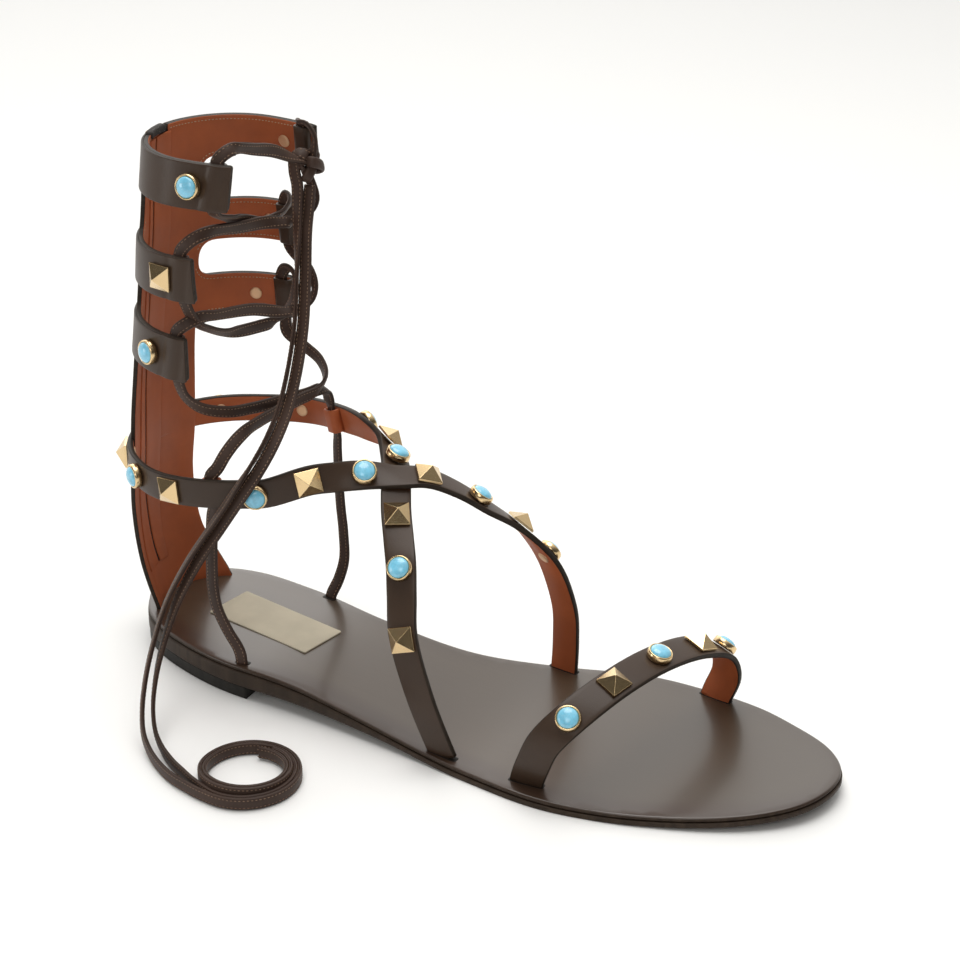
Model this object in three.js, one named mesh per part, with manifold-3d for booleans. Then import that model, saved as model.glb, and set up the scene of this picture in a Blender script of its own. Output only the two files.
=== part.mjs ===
// Gladiator sandal for a right foot: flat leather sole, toe strap, crossed instep straps,
// laced ankle shaft with a zip down its back, pyramid studs and stone cabochons.
// Units are millimetres. +X points to the toe, +Y to the medial (inner) side, +Z up.
// The origin is on the floor, at the middle of the heel.

import * as THREE from 'three';
import { mergeVertices } from 'three/addons/utils/BufferGeometryUtils.js';
import Module from 'manifold-3d';

const wasm = await Module();
wasm.setup();

// Driving dimensions of the last and the sole
const LENGTH = 252;
const HEEL_REACH = 30;
const BALL_WIDTH = 84;
const SEAT_HEIGHT = 11.5;
const SOLE_THICKNESS = 3.4;
const TOE_SPRING = 4;
const HEEL_LIFT = 4;
const INSOLE_THICKNESS = 1.6;
const INSTEP_HEIGHT = 70;
const EDGE_INSET = 0.4;
const CLEARANCE = 0.3;

// Driving dimensions of the shaft and straps
const SHAFT_HEIGHT = 168.8;
const ANKLE_WIDTH = 72;
const PANEL_WALL = 1.6;
const STRAP_WALL = 2;
const STRAP_PROUD = 0.8;
const STRAP_WIDTH = 9.6;
const TOE_STRAP_WIDTH = 10.8;
const ARM_WIDTH = 14;
const ANKLE_STRAP_HEIGHT = 61;
const ANKLE_STRAP_CLIMB = 4.5;

// Lace, its tunnels and its coil
const LACE_WIDTH = 4.2;
const LACE_THICKNESS = 1.6;
const END_DIAMETER = 2.6;
const TUNNEL_LENGTH = 5.4;
const TUNNEL_DEPTH = 2.6;
const TUNNEL_WALL = 1.2;
const TUNNEL_BEVEL = 1;
const LATERAL_KEEPER = 0.28;
const MEDIAL_KEEPER = 0.34;
const KEEPER_INSET = 1.6;
const COIL_OUTER = 18;
const COIL_INNER = 12;
const COIL_HEIGHT = 4.8;

// Zip
const ZIP_SLOT = 5;
const ZIP_TAPE = 0.8;
const ZIP_TEETH_WIDTH = 2.6;
const ZIP_TEETH_RISE = 0.5;
const ZIP_END_HEIGHT = 24;
const SLIDER_LENGTH = 9;
const SLIDER_WIDTH = 7.4;
const SLIDER_THICKNESS = 2.2;
const SLIDER_BEVEL = 0.8;

// Studs and label
const PYRAMID_SIZE = 8;
const PYRAMID_RIM = 0.7;
const PYRAMID_HEIGHT = 3.9;
const PYRAMID_TIP = 0.15;
const SETTING_RADIUS = 4.1;
const SETTING_HEIGHT = 2.3;
const SETTING_FLOOR = 0.8;
const SETTING_BEVEL = 0.35;
const STONE_RADIUS = 3.3;
const STONE_RISE = 3.5;
const STONE_SINK = 0.6;
const STUD_SIDES = 10;
const STUD_STEPS = 1000;
const LABEL_LENGTH = 44;
const LABEL_WIDTH = 18.5;
const LABEL_THICKNESS = 0.5;
const LABEL_TURN = -9.7;

const DEGREE = Math.PI / 180;
const MERGE_DISTANCE = 1e-4;
const CUTTER_MARGIN = 30;

// The blunt end of the sole outline, as an angle of its cosine spacing
const TIP_ANGLE = 0.03;

// Steps along the longer forms, and segments round the turned ones
const SOLE_STEPS = 46;
const LIFT_STEPS = 14;
const CUTTER_STEPS = 60;
const LABEL_STEPS = 8;
const PANEL_ROWS = 14;
const PANEL_COLUMNS = 8;
const PANEL_CROWDING = 1.25;
const ARM_STEPS = 27;
const LATERAL_STEPS = 60;
const MEDIAL_STEPS = 58;
const TOE_STEPS = 36;
const ZIP_ROWS = 8;
const LACE_STEPS_PER_ROW = 1.6;
const END_STEPS = 48;
const COIL_SEGMENTS = 24;

// Sole outline. along is a share of LENGTH from the heel's back; medial and lateral are
// shares of BALL_WIDTH from the centre line.
const SOLE_OUTLINE = [
  { along: 0, medial: 0, lateral: 0 },
  { along: 0.012, medial: 0.133, lateral: -0.094 },
  { along: 0.045, medial: 0.262, lateral: -0.214 },
  { along: 0.11, medial: 0.321, lateral: -0.314 },
  { along: 0.2, medial: 0.301, lateral: -0.381 },
  { along: 0.32, medial: 0.243, lateral: -0.396 },
  { along: 0.45, medial: 0.257, lateral: -0.432 },
  { along: 0.57, medial: 0.379, lateral: -0.481 },
  { along: 0.68, medial: 0.482, lateral: -0.515 },
  { along: 0.76, medial: 0.494, lateral: -0.483 },
  { along: 0.84, medial: 0.462, lateral: -0.41 },
  { along: 0.91, medial: 0.374, lateral: -0.315 },
  { along: 0.955, medial: 0.292, lateral: -0.219 },
  { along: 0.985, medial: 0.195, lateral: -0.112 },
  { along: 1, medial: 0.058, lateral: 0.058 },
];

// Places along the sole, as shares of LENGTH from the heel's back
const HEEL_BREAST = 0.238;
const ARCH_END = 0.595;
const EDGE_TAPER_END = 0.5;
const SPRING_START = 0.734;

// The label's middle: along is a share of LENGTH from the heel's back, across of BALL_WIDTH
const LABEL_PLACE = { along: 0.203, across: -0.0155 };

// Shaft sections from the seat up. height is a share of SHAFT_HEIGHT above the seat; back,
// middle and front are shares of LENGTH from the origin; half is a share of ANKLE_WIDTH;
// lateral and medial are the back panel's edges, in degrees around from the zip.
const SHAFT_SECTIONS = [
  { height: 0, back: -0.095, middle: 0.048, front: 0.238, half: 0.375, lateral: -30, medial: 50 },
  { height: 0.05, back: -0.107, middle: 0.048, front: 0.238, half: 0.395, lateral: -29, medial: 44 },
  { height: 0.11, back: -0.1165, middle: 0.048, front: 0.238, half: 0.417, lateral: -29, medial: 37 },
  { height: 0.228, back: -0.118, middle: 0.048, front: 0.218, half: 0.472, lateral: -30, medial: 31 },
  { height: 0.347, back: -0.109, middle: 0.048, front: 0.19, half: 0.5, lateral: -30, medial: 30 },
  { height: 0.435, back: -0.104, middle: 0.048, front: 0.183, half: 0.493, lateral: -30, medial: 30 },
  { height: 0.524, back: -0.098, middle: 0.044, front: 0.183, half: 0.458, lateral: -31, medial: 31 },
  { height: 0.672, back: -0.084, middle: 0.04, front: 0.183, half: 0.431, lateral: -32, medial: 32 },
  { height: 0.82, back: -0.0695, middle: 0.032, front: 0.183, half: 0.421, lateral: -33, medial: 33 },
  { height: 1, back: -0.061, middle: 0.04, front: 0.175, half: 0.354, lateral: -34, medial: 34 },
];

// Shaft arms. height is the middle of the arm, a share of SHAFT_HEIGHT above the seat; reach
// is how far round it goes from the zip, in degrees; stud says where its stud is, as reach is.
const ARMS = [
  { name: 'top', height: 0.9585, reach: 114, stud: 97, pyramid: false },
  { name: 'middle', height: 0.783, reach: 100, stud: 83, pyramid: true },
  { name: 'low', height: 0.626, reach: 93, stud: 69, pyramid: false },
];

// Crossed straps past the ankle. along is a share of LENGTH from the heel's back; across is a
// share of BALL_WIDTH; height is a share of INSTEP_HEIGHT above the footbed; turn and rise are
// the way that the outer face looks, in degrees from +X and from level.
const LATERAL_STRAP = [
  { along: 0.3194, across: -0.25, height: 0.994, turn: -54, rise: 10 },
  { along: 0.3472, across: -0.186, height: 1.016, turn: -47, rise: 24 },
  { along: 0.377, across: -0.119, height: 1.036, turn: -38, rise: 50 },
  { along: 0.4063, across: -0.051, height: 1.036, turn: -26, rise: 70 },
  { along: 0.4345, across: 0.03, height: 1.029, turn: 0, rise: 72 },
  { along: 0.4655, across: 0.11, height: 0.968, turn: 30, rise: 66 },
  { along: 0.498, across: 0.173, height: 0.885, turn: 42, rise: 57 },
  { along: 0.5317, across: 0.214, height: 0.816, turn: 56, rise: 48 },
  { along: 0.5516, across: 0.256, height: 0.724, turn: 66, rise: 37 },
  { along: 0.5615, across: 0.292, height: 0.64, turn: 73, rise: 28 },
  { along: 0.5702, across: 0.321, height: 0.536, turn: 79, rise: 18 },
  { along: 0.5794, across: 0.357, height: 0.336, turn: 83, rise: 8 },
  { along: 0.5794, across: 0.369, height: 0.182, turn: 85, rise: 2 },
  { along: 0.5774, across: 0.371, height: 0.003, turn: 86, rise: -2 },
  { along: 0.5754, across: 0.371, height: -0.058, turn: 86, rise: -4 },
];
const MEDIAL_STRAP = [
  { along: 0.2516, across: 0.329, height: 0.963, turn: 64, rise: 6 },
  { along: 0.2984, across: 0.25, height: 1.007, turn: 55, rise: 16 },
  { along: 0.3472, across: 0.179, height: 1.027, turn: 40, rise: 38 },
  { along: 0.379, across: 0.076, height: 1.025, turn: 18, rise: 64 },
  { along: 0.404, across: -0.046, height: 1.014, turn: -14, rise: 70 },
  { along: 0.4238, across: -0.15, height: 0.934, turn: -46, rise: 58 },
  { along: 0.4437, across: -0.238, height: 0.861, turn: -66, rise: 42 },
  { along: 0.4603, across: -0.312, height: 0.792, turn: -76, rise: 30 },
  { along: 0.4714, across: -0.369, height: 0.674, turn: -82, rise: 18 },
  { along: 0.4829, across: -0.424, height: 0.533, turn: -86, rise: 9 },
  { along: 0.5119, across: -0.455, height: 0.27, turn: -89, rise: 1 },
  { along: 0.5397, across: -0.437, height: 0.001, turn: -91, rise: -6 },
  { along: 0.5476, across: -0.43, height: -0.068, turn: -91, rise: -8 },
];
const TOE_STRAP = [
  { along: 0.6556, across: -0.438, height: -0.063, turn: -88, rise: -8 },
  { along: 0.6595, across: -0.444, height: 0.011, turn: -88, rise: -6 },
  { along: 0.6706, across: -0.46, height: 0.12, turn: -86, rise: 2 },
  { along: 0.6849, across: -0.458, height: 0.243, turn: -80, rise: 20 },
  { along: 0.7087, across: -0.405, height: 0.36, turn: -66, rise: 46 },
  { along: 0.7369, across: -0.202, height: 0.444, turn: -34, rise: 70 },
  { along: 0.7599, across: 0.036, height: 0.452, turn: 0, rise: 74 },
  { along: 0.781, across: 0.274, height: 0.391, turn: 44, rise: 64 },
  { along: 0.7948, across: 0.411, height: 0.297, turn: 66, rise: 36 },
  { along: 0.7964, across: 0.462, height: 0.151, turn: 78, rise: 8 },
  { along: 0.7849, across: 0.462, height: 0.024, turn: 82, rise: -6 },
  { along: 0.7778, across: 0.458, height: -0.062, turn: 82, rise: -10 },
];

// The ankle strap, in degrees round from the zip: its first row, the step between rows, where
// its climb starts and ends, and where each side leaves the shaft for the instep
const FIRST_ROW = 5;
const ROW_STEP = 10;
const CLIMB_START = 60;
const CLIMB_END = 140;
const LATERAL_LEAVES = 125;
const MEDIAL_LEAVES = 95;

// Studs on each strap, from the zip or the lateral foot: shares of the strap's length
const LATERAL_STUDS = [
  { place: 0.067, pyramid: true },
  { place: 0.145, pyramid: false },
  { place: 0.218, pyramid: true },
  { place: 0.346, pyramid: false },
  { place: 0.418, pyramid: true },
  { place: 0.492, pyramid: false },
  { place: 0.579, pyramid: true },
  { place: 0.658, pyramid: false },
  { place: 0.724, pyramid: true },
  { place: 0.788, pyramid: false },
];
const MEDIAL_STUDS = [
  { place: 0.111, pyramid: false },
  { place: 0.241, pyramid: true },
  { place: 0.404, pyramid: false },
  { place: 0.47, pyramid: true },
  { place: 0.52, pyramid: false },
  { place: 0.629, pyramid: true },
  { place: 0.71, pyramid: false },
  { place: 0.804, pyramid: true },
];
const TOE_STUDS = [
  { place: 0.252, pyramid: false },
  { place: 0.393, pyramid: true },
  { place: 0.546, pyramid: false },
  { place: 0.701, pyramid: true },
  { place: 0.797, pyramid: false },
];

// Lace routes, chosen by hand. Each lace rises from the footbed, runs up behind the ankle
// strap in its keeper, and then crosses the ankle from tunnel to tunnel. A route holds the free
// stretches alone: the ends in the keepers and tunnels are worked out.
const LATERAL_FOOT = [
  [26.6, -29.6, 6], [26.8, -29.8, 12.4], [26.2, -30.2, 16.8], [22.4, -30.8, 23.6], [19, -31, 31],
  [17.8, -31, 38], [17.8, -31, 45], [18.6, -31.3, 56.5], [20, -32, 65.5],
];
const LATERAL_LOW = [
  [22.6, -31.6, 82.6], [24.6, -29.8, 87], [26, -26, 90.4], [26.4, -20, 92], [26.8, -12.6, 92.4],
  [27.4, -4, 92.4], [28.6, 7, 92.4], [30.2, 15.4, 92.8], [29.8, 21.6, 95.2], [25, 26, 98.6],
  [16.4, 28.8, 101.6], [10, 29.6, 105],
];
const MEDIAL_FOOT = [
  [28.4, 22.2, 6], [28.6, 22.6, 12], [30.6, 24.6, 18], [32.6, 25.4, 26], [32.4, 25.8, 36],
  [31.4, 26, 47], [31, 26, 58], [31, 25.8, 68],
];
const MEDIAL_LOW = [
  [28.4, 25.4, 85.6], [28.8, 23.6, 89.4], [28.8, 19.6, 91.4], [28.2, 12, 92.4], [25.6, 0, 94],
  [22.6, -10, 95], [19, -19.6, 96.6], [13.6, -26.2, 99.4], [9.6, -28.8, 103.6],
];
const MEDIAL_MIDDLE = [
  [12.2, 27.6, 128.6], [16.8, 25, 127.6], [19, 20.4, 121.4], [18.6, 13, 117], [16.2, 3, 117],
  [14, -10, 119.4], [12.9, -18.5, 123.4], [12, -24, 127.4],
];
const LATERAL_MIDDLE = [
  [11, -27.4, 128], [13.2, -23.2, 129], [15, -17, 128], [18.2, -2, 125.2], [22.6, 13, 120.2],
  [25, 19.6, 121.2], [25.6, 23.4, 124.6], [22.4, 26, 129.4],
];
const LATERAL_HIGH = [
  [13.8, -26.6, 155.4], [16.8, -21, 157], [19.2, -8, 155], [20.8, 4, 153], [24.6, 12, 151.4],
  [27, 18, 152.6], [28, 22, 156.4],
];
const MEDIAL_HIGH = [
  [14.4, 26.4, 154.4], [17.4, 23, 154], [18.8, 18, 152.6], [19, 12, 151.6], [19.4, 4, 152.6],
  [18, -4, 155.8], [18.8, -13, 159.4],
];
const LATERAL_TOP = [
  [24.4, -19.8, 183.6], [24.8, -14, 183], [25.2, -7, 180.8], [26.2, 2, 177.8], [27.6, 10, 173.6],
  [30, 16, 170.4],
];
const MEDIAL_TOP = [
  [25, 20.2, 183], [27.8, 19.6, 182.4], [30.6, 18.6, 178.6], [30.4, 16.6, 172],
];
const KNOT_CENTRE = [30.4, 16, 169.6];
const KNOT_RADII = [3.5, 3.3, 5.4];
const END_A_ROUTE = [
  [27.4, 12.6, 163.8], [28, 11.4, 158], [29.5, 8.5, 150], [32.1, 3.3, 137], [34.8, -3.3, 123],
  [36.8, -11.6, 110], [38.8, -21.1, 100.6], [39, -29.4, 93.6], [37.2, -35.4, 87.2], [33.8, -38.3, 80.6],
  [29.5, -39.6, 73.4], [24.7, -41, 65.6], [18.5, -45.5, 54], [13.9, -50.9, 41.6], [12, -56.1, 30],
  [12, -61.6, 19.6], [13.9, -67.2, 11], [17.8, -72.6, 5.6], [23.6, -77.4, 3], [31.2, -82.2, 2.3],
  [37.8, -85.3, 2.3], [44.4, -87.1, 2.3],
];
const END_B_ROUTE = [
  [31, 14.5, 163.8], [31.2, 13, 158], [32, 9.8, 150], [34.4, 4.7, 137], [37.2, -2, 123],
  [39.3, -10.2, 110], [41.3, -19.6, 100.6], [41.7, -27.9, 93.6], [40.2, -33.9, 87.2], [36.7, -36.7, 80.6],
  [32.3, -38, 73.4], [27.6, -39.4, 65.6], [21.4, -43.9, 54], [16.8, -49.2, 41.6], [14.8, -54.4, 30],
  [14.8, -60, 19.6], [16.8, -65.4, 11], [20.8, -70.2, 5.6], [26.4, -74.4, 3], [33.2, -78.6, 2.3],
  [39.8, -81.9, 2.3],
];
const COIL_CENTRE = [56.8, -71.7];

const FINISHES = {
  outer: { color: 0x3f342f, roughness: 0.48, metalness: 0 },
  edge: { color: 0x34312d, roughness: 0.5, metalness: 0 },
  footbed: { color: 0x6d635a, roughness: 0.34, metalness: 0 },
  label: { color: 0xcfc8b5, roughness: 0.8, metalness: 0 },
  gold: { color: 0xc9ae7c, roughness: 0.25, metalness: 1 },
  stone: { color: 0x62b8d8, roughness: 0.25, metalness: 0 },
  zip: { color: 0x2a2522, roughness: 0.6, metalness: 0 },
  slider: { color: 0x6a5a40, roughness: 0.35, metalness: 1 },
  lace: { color: 0x4a3a32, roughness: 0.6, metalness: 0 },
};

const group = new THREE.Group();

// Materials and meshes

function finish(name) {
  return new THREE.MeshStandardMaterial({ name, ...FINISHES[name] });
}

const materials = Object.fromEntries(Object.keys(FINISHES).map((name) => [name, finish(name)]));

function addPiece(name, shape, material) {
  const geometry = shape.isBufferGeometry ? shape : geometryFrom(shape);
  const mesh = new THREE.Mesh(geometry, materials[material]);
  mesh.name = name;
  group.add(mesh);
  return mesh;
}

// A closed mesh as a solid for joins and cuts, turned right side out if it needs it
function solidFrom(geometry) {
  const bare = geometry.clone();
  bare.deleteAttribute('normal');
  bare.deleteAttribute('uv');
  const merged = mergeVertices(bare, MERGE_DISTANCE);
  const vertProperties = new Float32Array(merged.attributes.position.array);
  const triVerts = new Uint32Array(merged.index.array);
  if (signedVolume(vertProperties, triVerts) < 0) {
    for (let i = 0; i < triVerts.length; i += 3) {
      [triVerts[i], triVerts[i + 1]] = [triVerts[i + 1], triVerts[i]];
    }
  }
  return new wasm.Manifold(new wasm.Mesh({ numProp: 3, vertProperties, triVerts }));
}

function signedVolume(positions, triangles) {
  const corner = (i) => new THREE.Vector3().fromArray(positions, 3 * triangles[i]);
  let total = 0;
  for (let i = 0; i < triangles.length; i += 3) {
    total += corner(i).dot(corner(i + 1).cross(corner(i + 2)));
  }
  return total / 6;
}

function geometryFrom(solid) {
  const result = solid.getMesh();
  const geometry = new THREE.BufferGeometry();
  geometry.setAttribute('position', new THREE.BufferAttribute(result.vertProperties, 3));
  geometry.setIndex(new THREE.BufferAttribute(result.triVerts, 1));
  geometry.computeVertexNormals();
  return geometry;
}

function join(solids) {
  return solids.reduce((whole, solid) => whole.add(solid));
}

// A closed skin over rings of points that all have the same count, with a flat cap at each end
function skinRings(rings, capFaces) {
  const count = rings[0].length;
  const positions = rings.flat().flatMap((point) => [point.x, point.y, point.z]);
  const index = [];
  for (let row = 0; row < rings.length - 1; row += 1) {
    for (let i = 0; i < count; i += 1) {
      const a = row * count + i;
      const b = row * count + ((i + 1) % count);
      index.push(a, b, b + count, a, b + count, a + count);
    }
  }
  const last = (rings.length - 1) * count;
  for (const [a, b, c] of capFaces) {
    index.push(a, c, b, last + a, last + b, last + c);
  }
  const geometry = new THREE.BufferGeometry();
  geometry.setAttribute('position', new THREE.Float32BufferAttribute(positions, 3));
  geometry.setIndex(index);
  return geometry;
}

// Smooth values through a table's rows, looked up by its key column
function tableCurve(rows, key, columns) {
  const keys = rows.map((row) => key(row));
  const values = rows.flatMap((row) => columns.map((column) => row[column]));
  const curve = new THREE.CubicInterpolant(keys, values, columns.length);
  return (at) => {
    const clamped = Math.min(Math.max(at, keys[0]), keys.at(-1));
    const result = curve.evaluate(clamped);
    return Object.fromEntries(columns.map((column, i) => [column, result[i]]));
  };
}

// Sole

const shareX = (share) => share * LENGTH - HEEL_REACH;
const xShare = (x) => (x + HEEL_REACH) / LENGTH;
const soleAngle = (share) => Math.acos(1 - 2 * Math.min(Math.max(share, 0), 1));
const soleAt = tableCurve(SOLE_OUTLINE, (row) => soleAngle(row.along), ['medial', 'lateral']);

function footbedTop(x) {
  const share = xShare(x);
  const arch = THREE.MathUtils.smoothstep(share, HEEL_BREAST, ARCH_END);
  const spring = Math.max(0, (share - SPRING_START) / (1 - SPRING_START));
  return THREE.MathUtils.lerp(SEAT_HEIGHT, SOLE_THICKNESS, arch) + TOE_SPRING * spring ** 2;
}

function soleBottom(x) {
  const taper = THREE.MathUtils.smoothstep(xShare(x), HEEL_BREAST, EDGE_TAPER_END);
  const heelEdge = SEAT_HEIGHT - HEEL_LIFT - CLEARANCE;
  return footbedTop(x) - THREE.MathUtils.lerp(heelEdge, SOLE_THICKNESS, taper);
}

// A slab inside the sole outline, from one share of the length to another
function soleSlab(from, to, inset, low, high, steps) {
  const start = soleAngle(from);
  const stop = soleAngle(to);
  const rings = [];
  for (let i = 0; i <= steps; i += 1) {
    const angle = THREE.MathUtils.lerp(start, stop, i / steps);
    const share = (1 - Math.cos(angle)) / 2;
    const edge = soleAt(THREE.MathUtils.clamp(angle, TIP_ANGLE, Math.PI - TIP_ANGLE));
    const x = inset + share * (LENGTH - 2 * inset) - HEEL_REACH;
    const shrink = 1 - (2 * inset) / BALL_WIDTH;
    const medial = edge.medial * BALL_WIDTH * shrink;
    const lateral = edge.lateral * BALL_WIDTH * shrink;
    rings.push([
      new THREE.Vector3(x, lateral, low(x)),
      new THREE.Vector3(x, medial, low(x)),
      new THREE.Vector3(x, medial, high(x)),
      new THREE.Vector3(x, lateral, high(x)),
    ]);
  }
  return skinRings(rings, [[0, 1, 2], [0, 2, 3]]);
}

function addSole() {
  const insoleBottom = (x) => footbedTop(x) - INSOLE_THICKNESS;
  const outsoleTop = (x) => insoleBottom(x) - CLEARANCE;
  const flat = (height) => () => height;
  const outsole = soleSlab(0, 1, 0, soleBottom, outsoleTop, SOLE_STEPS);
  const insole = soleSlab(0, 1, EDGE_INSET, insoleBottom, footbedTop, SOLE_STEPS);
  const lift = soleSlab(0, HEEL_BREAST, EDGE_INSET, flat(0), flat(HEEL_LIFT), LIFT_STEPS);
  addPiece('outsole', solidFrom(outsole), 'edge');
  addPiece('insole', solidFrom(insole), 'footbed');
  addPiece('heel_lift', solidFrom(lift), 'edge');
}

// What cuts the feet of the straps and panel to the footbed: all the room under it
function footbedCutter() {
  const deep = () => -2 * CUTTER_MARGIN;
  const level = (x) => footbedTop(x) + CLEARANCE;
  return solidFrom(soleSlab(0, 1, -CUTTER_MARGIN, deep, level, CUTTER_STEPS));
}

function addLabel() {
  const turn = LABEL_TURN * DEGREE;
  const centre = new THREE.Vector2(shareX(LABEL_PLACE.along), LABEL_PLACE.across * BALL_WIDTH);
  const rings = [];
  for (let i = 0; i <= LABEL_STEPS; i += 1) {
    const along = (i / LABEL_STEPS - 0.5) * LABEL_LENGTH;
    const ring = [-0.5, 0.5].map((side) => {
      const across = side * LABEL_WIDTH;
      const x = centre.x + along * Math.cos(turn) - across * Math.sin(turn);
      const y = centre.y + along * Math.sin(turn) + across * Math.cos(turn);
      return new THREE.Vector3(x, y, footbedTop(x) + CLEARANCE);
    });
    const lifted = ring.map((point) => point.clone().setZ(point.z + LABEL_THICKNESS));
    rings.push([ring[0], ring[1], lifted[1], lifted[0]]);
  }
  addPiece('label', solidFrom(skinRings(rings, [[0, 1, 2], [0, 2, 3]])), 'label');
}

// Shaft surface

const SECTION_COLUMNS = ['back', 'middle', 'front', 'half', 'lateral', 'medial'];
const sectionAt = tableCurve(SHAFT_SECTIONS, (row) => row.height, SECTION_COLUMNS);

function shaftSection(z) {
  const row = sectionAt((z - SEAT_HEIGHT) / SHAFT_HEIGHT);
  const middle = row.middle * LENGTH;
  return {
    middle,
    back: middle - row.back * LENGTH,
    front: row.front * LENGTH,
    half: row.half * ANKLE_WIDTH,
    lateral: row.lateral * DEGREE,
    medial: row.medial * DEGREE,
  };
}

// A point on the shaft: angle round from the zip (medial is positive), height, distance out
function shaftPoint(angle, z, out) {
  const section = shaftSection(z);
  const reach = Math.cos(angle) > 0 ? section.back : section.front;
  const normal = shaftNormal(angle, z);
  return new THREE.Vector3(
    section.middle - reach * Math.cos(angle) + normal.x * out,
    section.half * Math.sin(angle) + normal.y * out,
    z,
  );
}

function shaftNormal(angle, z) {
  const section = shaftSection(z);
  const reach = Math.cos(angle) > 0 ? section.back : section.front;
  return new THREE.Vector3(-Math.cos(angle) / reach, Math.sin(angle) / section.half, 0).normalize();
}

// A wall round part of the shaft. outline is a closed list of [angle, out] pairs, and each
// pair is carried up the shaft surface from the low height to the high one.
function shaftWall(outline, low, high, rows) {
  const rings = [];
  for (let row = 0; row <= rows; row += 1) {
    const z = THREE.MathUtils.lerp(low, high, row / rows);
    rings.push(outline.map(([angle, out]) => shaftPoint(angle, z, out)));
  }
  return solidFrom(skinRings(rings, bandFaces(outline)));
}

function bandOutline(from, to, outer, inner, steps) {
  const angles = Array.from({ length: steps + 1 }, (_, i) => THREE.MathUtils.lerp(from, to, i / steps));
  const outside = angles.map((angle) => [angle, outer]);
  const inside = angles.map((angle) => [angle, inner]).reverse();
  return [...outside, ...inside];
}

// Triangles that fill a band, going across it at each angle and never along the chord
function bandFaces(outline) {
  const last = outline.length - 1;
  const columns = outline.length / 2 - 1;
  return Array.from({ length: columns }, (_, i) => [
    [i, i + 1, last - i - 1],
    [i, last - i - 1, last - i],
  ]).flat();
}

// Back panel: full height, its edges following the lateral and medial columns
function backPanel() {
  const top = SEAT_HEIGHT + SHAFT_HEIGHT - EDGE_INSET;
  const bottom = SEAT_HEIGHT - 2 * PANEL_WALL;
  const rings = [];
  for (let row = 0; row <= PANEL_ROWS; row += 1) {
    const z = THREE.MathUtils.lerp(bottom, top, (row / PANEL_ROWS) ** PANEL_CROWDING);
    const section = shaftSection(z);
    rings.push(bandOutline(section.lateral, section.medial, 0, -PANEL_WALL, PANEL_COLUMNS)
      .map(([angle, out]) => shaftPoint(angle, z, out)));
  }
  return solidFrom(skinRings(rings, bandFaces(rings[0])));
}

const armHeight = (arm) => SEAT_HEIGHT + arm.height * SHAFT_HEIGHT;

function armBand(arm) {
  const reach = arm.reach * DEGREE;
  const z = armHeight(arm);
  const inner = STRAP_PROUD - STRAP_WALL;
  const outline = bandOutline(-reach, reach, STRAP_PROUD, inner, ARM_STEPS);
  return shaftWall(outline, z - ARM_WIDTH / 2, z + ARM_WIDTH / 2, 1);
}

// How many radians a length takes, out where the arms end
function arcAngle(length, angle, z) {
  const section = shaftSection(z);
  const reach = Math.cos(angle) > 0 ? section.back : section.front;
  return length / Math.hypot(reach * Math.sin(angle), section.half * Math.cos(angle));
}

// A tunnel for the lace is a box of leather round an open slot, inside the leather. The
// outlines are [along, out] pairs in millimetres; top is the inner face of the leather.
function tunnelOutlines(top) {
  const deep = top - TUNNEL_DEPTH;
  const floor = deep - TUNNEL_WALL;
  const half = TUNNEL_LENGTH / 2;
  const wide = half + TUNNEL_WALL;
  const narrow = wide - TUNNEL_BEVEL;
  const rooted = top + STRAP_WALL / 2;
  const box = [
    [-wide, rooted], [wide, rooted], [wide, floor + TUNNEL_BEVEL],
    [narrow, floor], [-narrow, floor], [-wide, floor + TUNNEL_BEVEL],
  ];
  const slot = [[-half, top], [half, top], [half, deep], [-half, deep]];
  return { box, slot };
}

function armTunnel(centre, z) {
  const { box, slot } = tunnelOutlines(STRAP_PROUD - STRAP_WALL);
  const turned = (outline) => outline.map(([along, out]) => [centre + arcAngle(along, centre, z), out]);
  const reach = ARM_WIDTH / 2 - CLEARANCE;
  const past = reach + TUNNEL_WALL;
  return shaftWall(turned(box), z - reach, z + reach, 1)
    .subtract(shaftWall(turned(slot), z - past, z + past, 1));
}

function armTunnelAngle(arm) {
  const end = arm.reach * DEGREE;
  return end - arcAngle(TUNNEL_LENGTH / 2 + TUNNEL_WALL, end, armHeight(arm));
}

function armTunnels(arm) {
  return [-1, 1].map((side) => armTunnel(side * armTunnelAngle(arm), armHeight(arm)));
}

// Straps as ribbons

function direction(turn, rise) {
  const level = Math.cos(rise * DEGREE);
  const x = level * Math.cos(turn * DEGREE);
  const y = level * Math.sin(turn * DEGREE);
  return new THREE.Vector3(x, y, Math.sin(rise * DEGREE));
}

function strapRow(row) {
  const x = shareX(row.along);
  const z = footbedTop(x) + row.height * INSTEP_HEIGHT;
  return {
    point: new THREE.Vector3(x, row.across * BALL_WIDTH, z),
    outward: direction(row.turn, row.rise),
  };
}

// How high the strap's middle is round the ankle: it climbs towards the instep
function ankleHeight(angle) {
  const climb = THREE.MathUtils.smoothstep(angle, CLIMB_START, CLIMB_END);
  return SEAT_HEIGHT + ANKLE_STRAP_HEIGHT + ANKLE_STRAP_CLIMB * climb;
}

// Rows round the ankle, from beside the zip to where the strap leaves for the instep
function ankleRows(side, lastAngle) {
  const rows = [];
  for (let angle = FIRST_ROW; angle <= lastAngle; angle += ROW_STEP) {
    const z = ankleHeight(angle);
    const turned = side * angle * DEGREE;
    rows.push({ point: shaftPoint(turned, z, STRAP_PROUD), outward: shaftNormal(turned, z) });
  }
  return rows;
}

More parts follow.
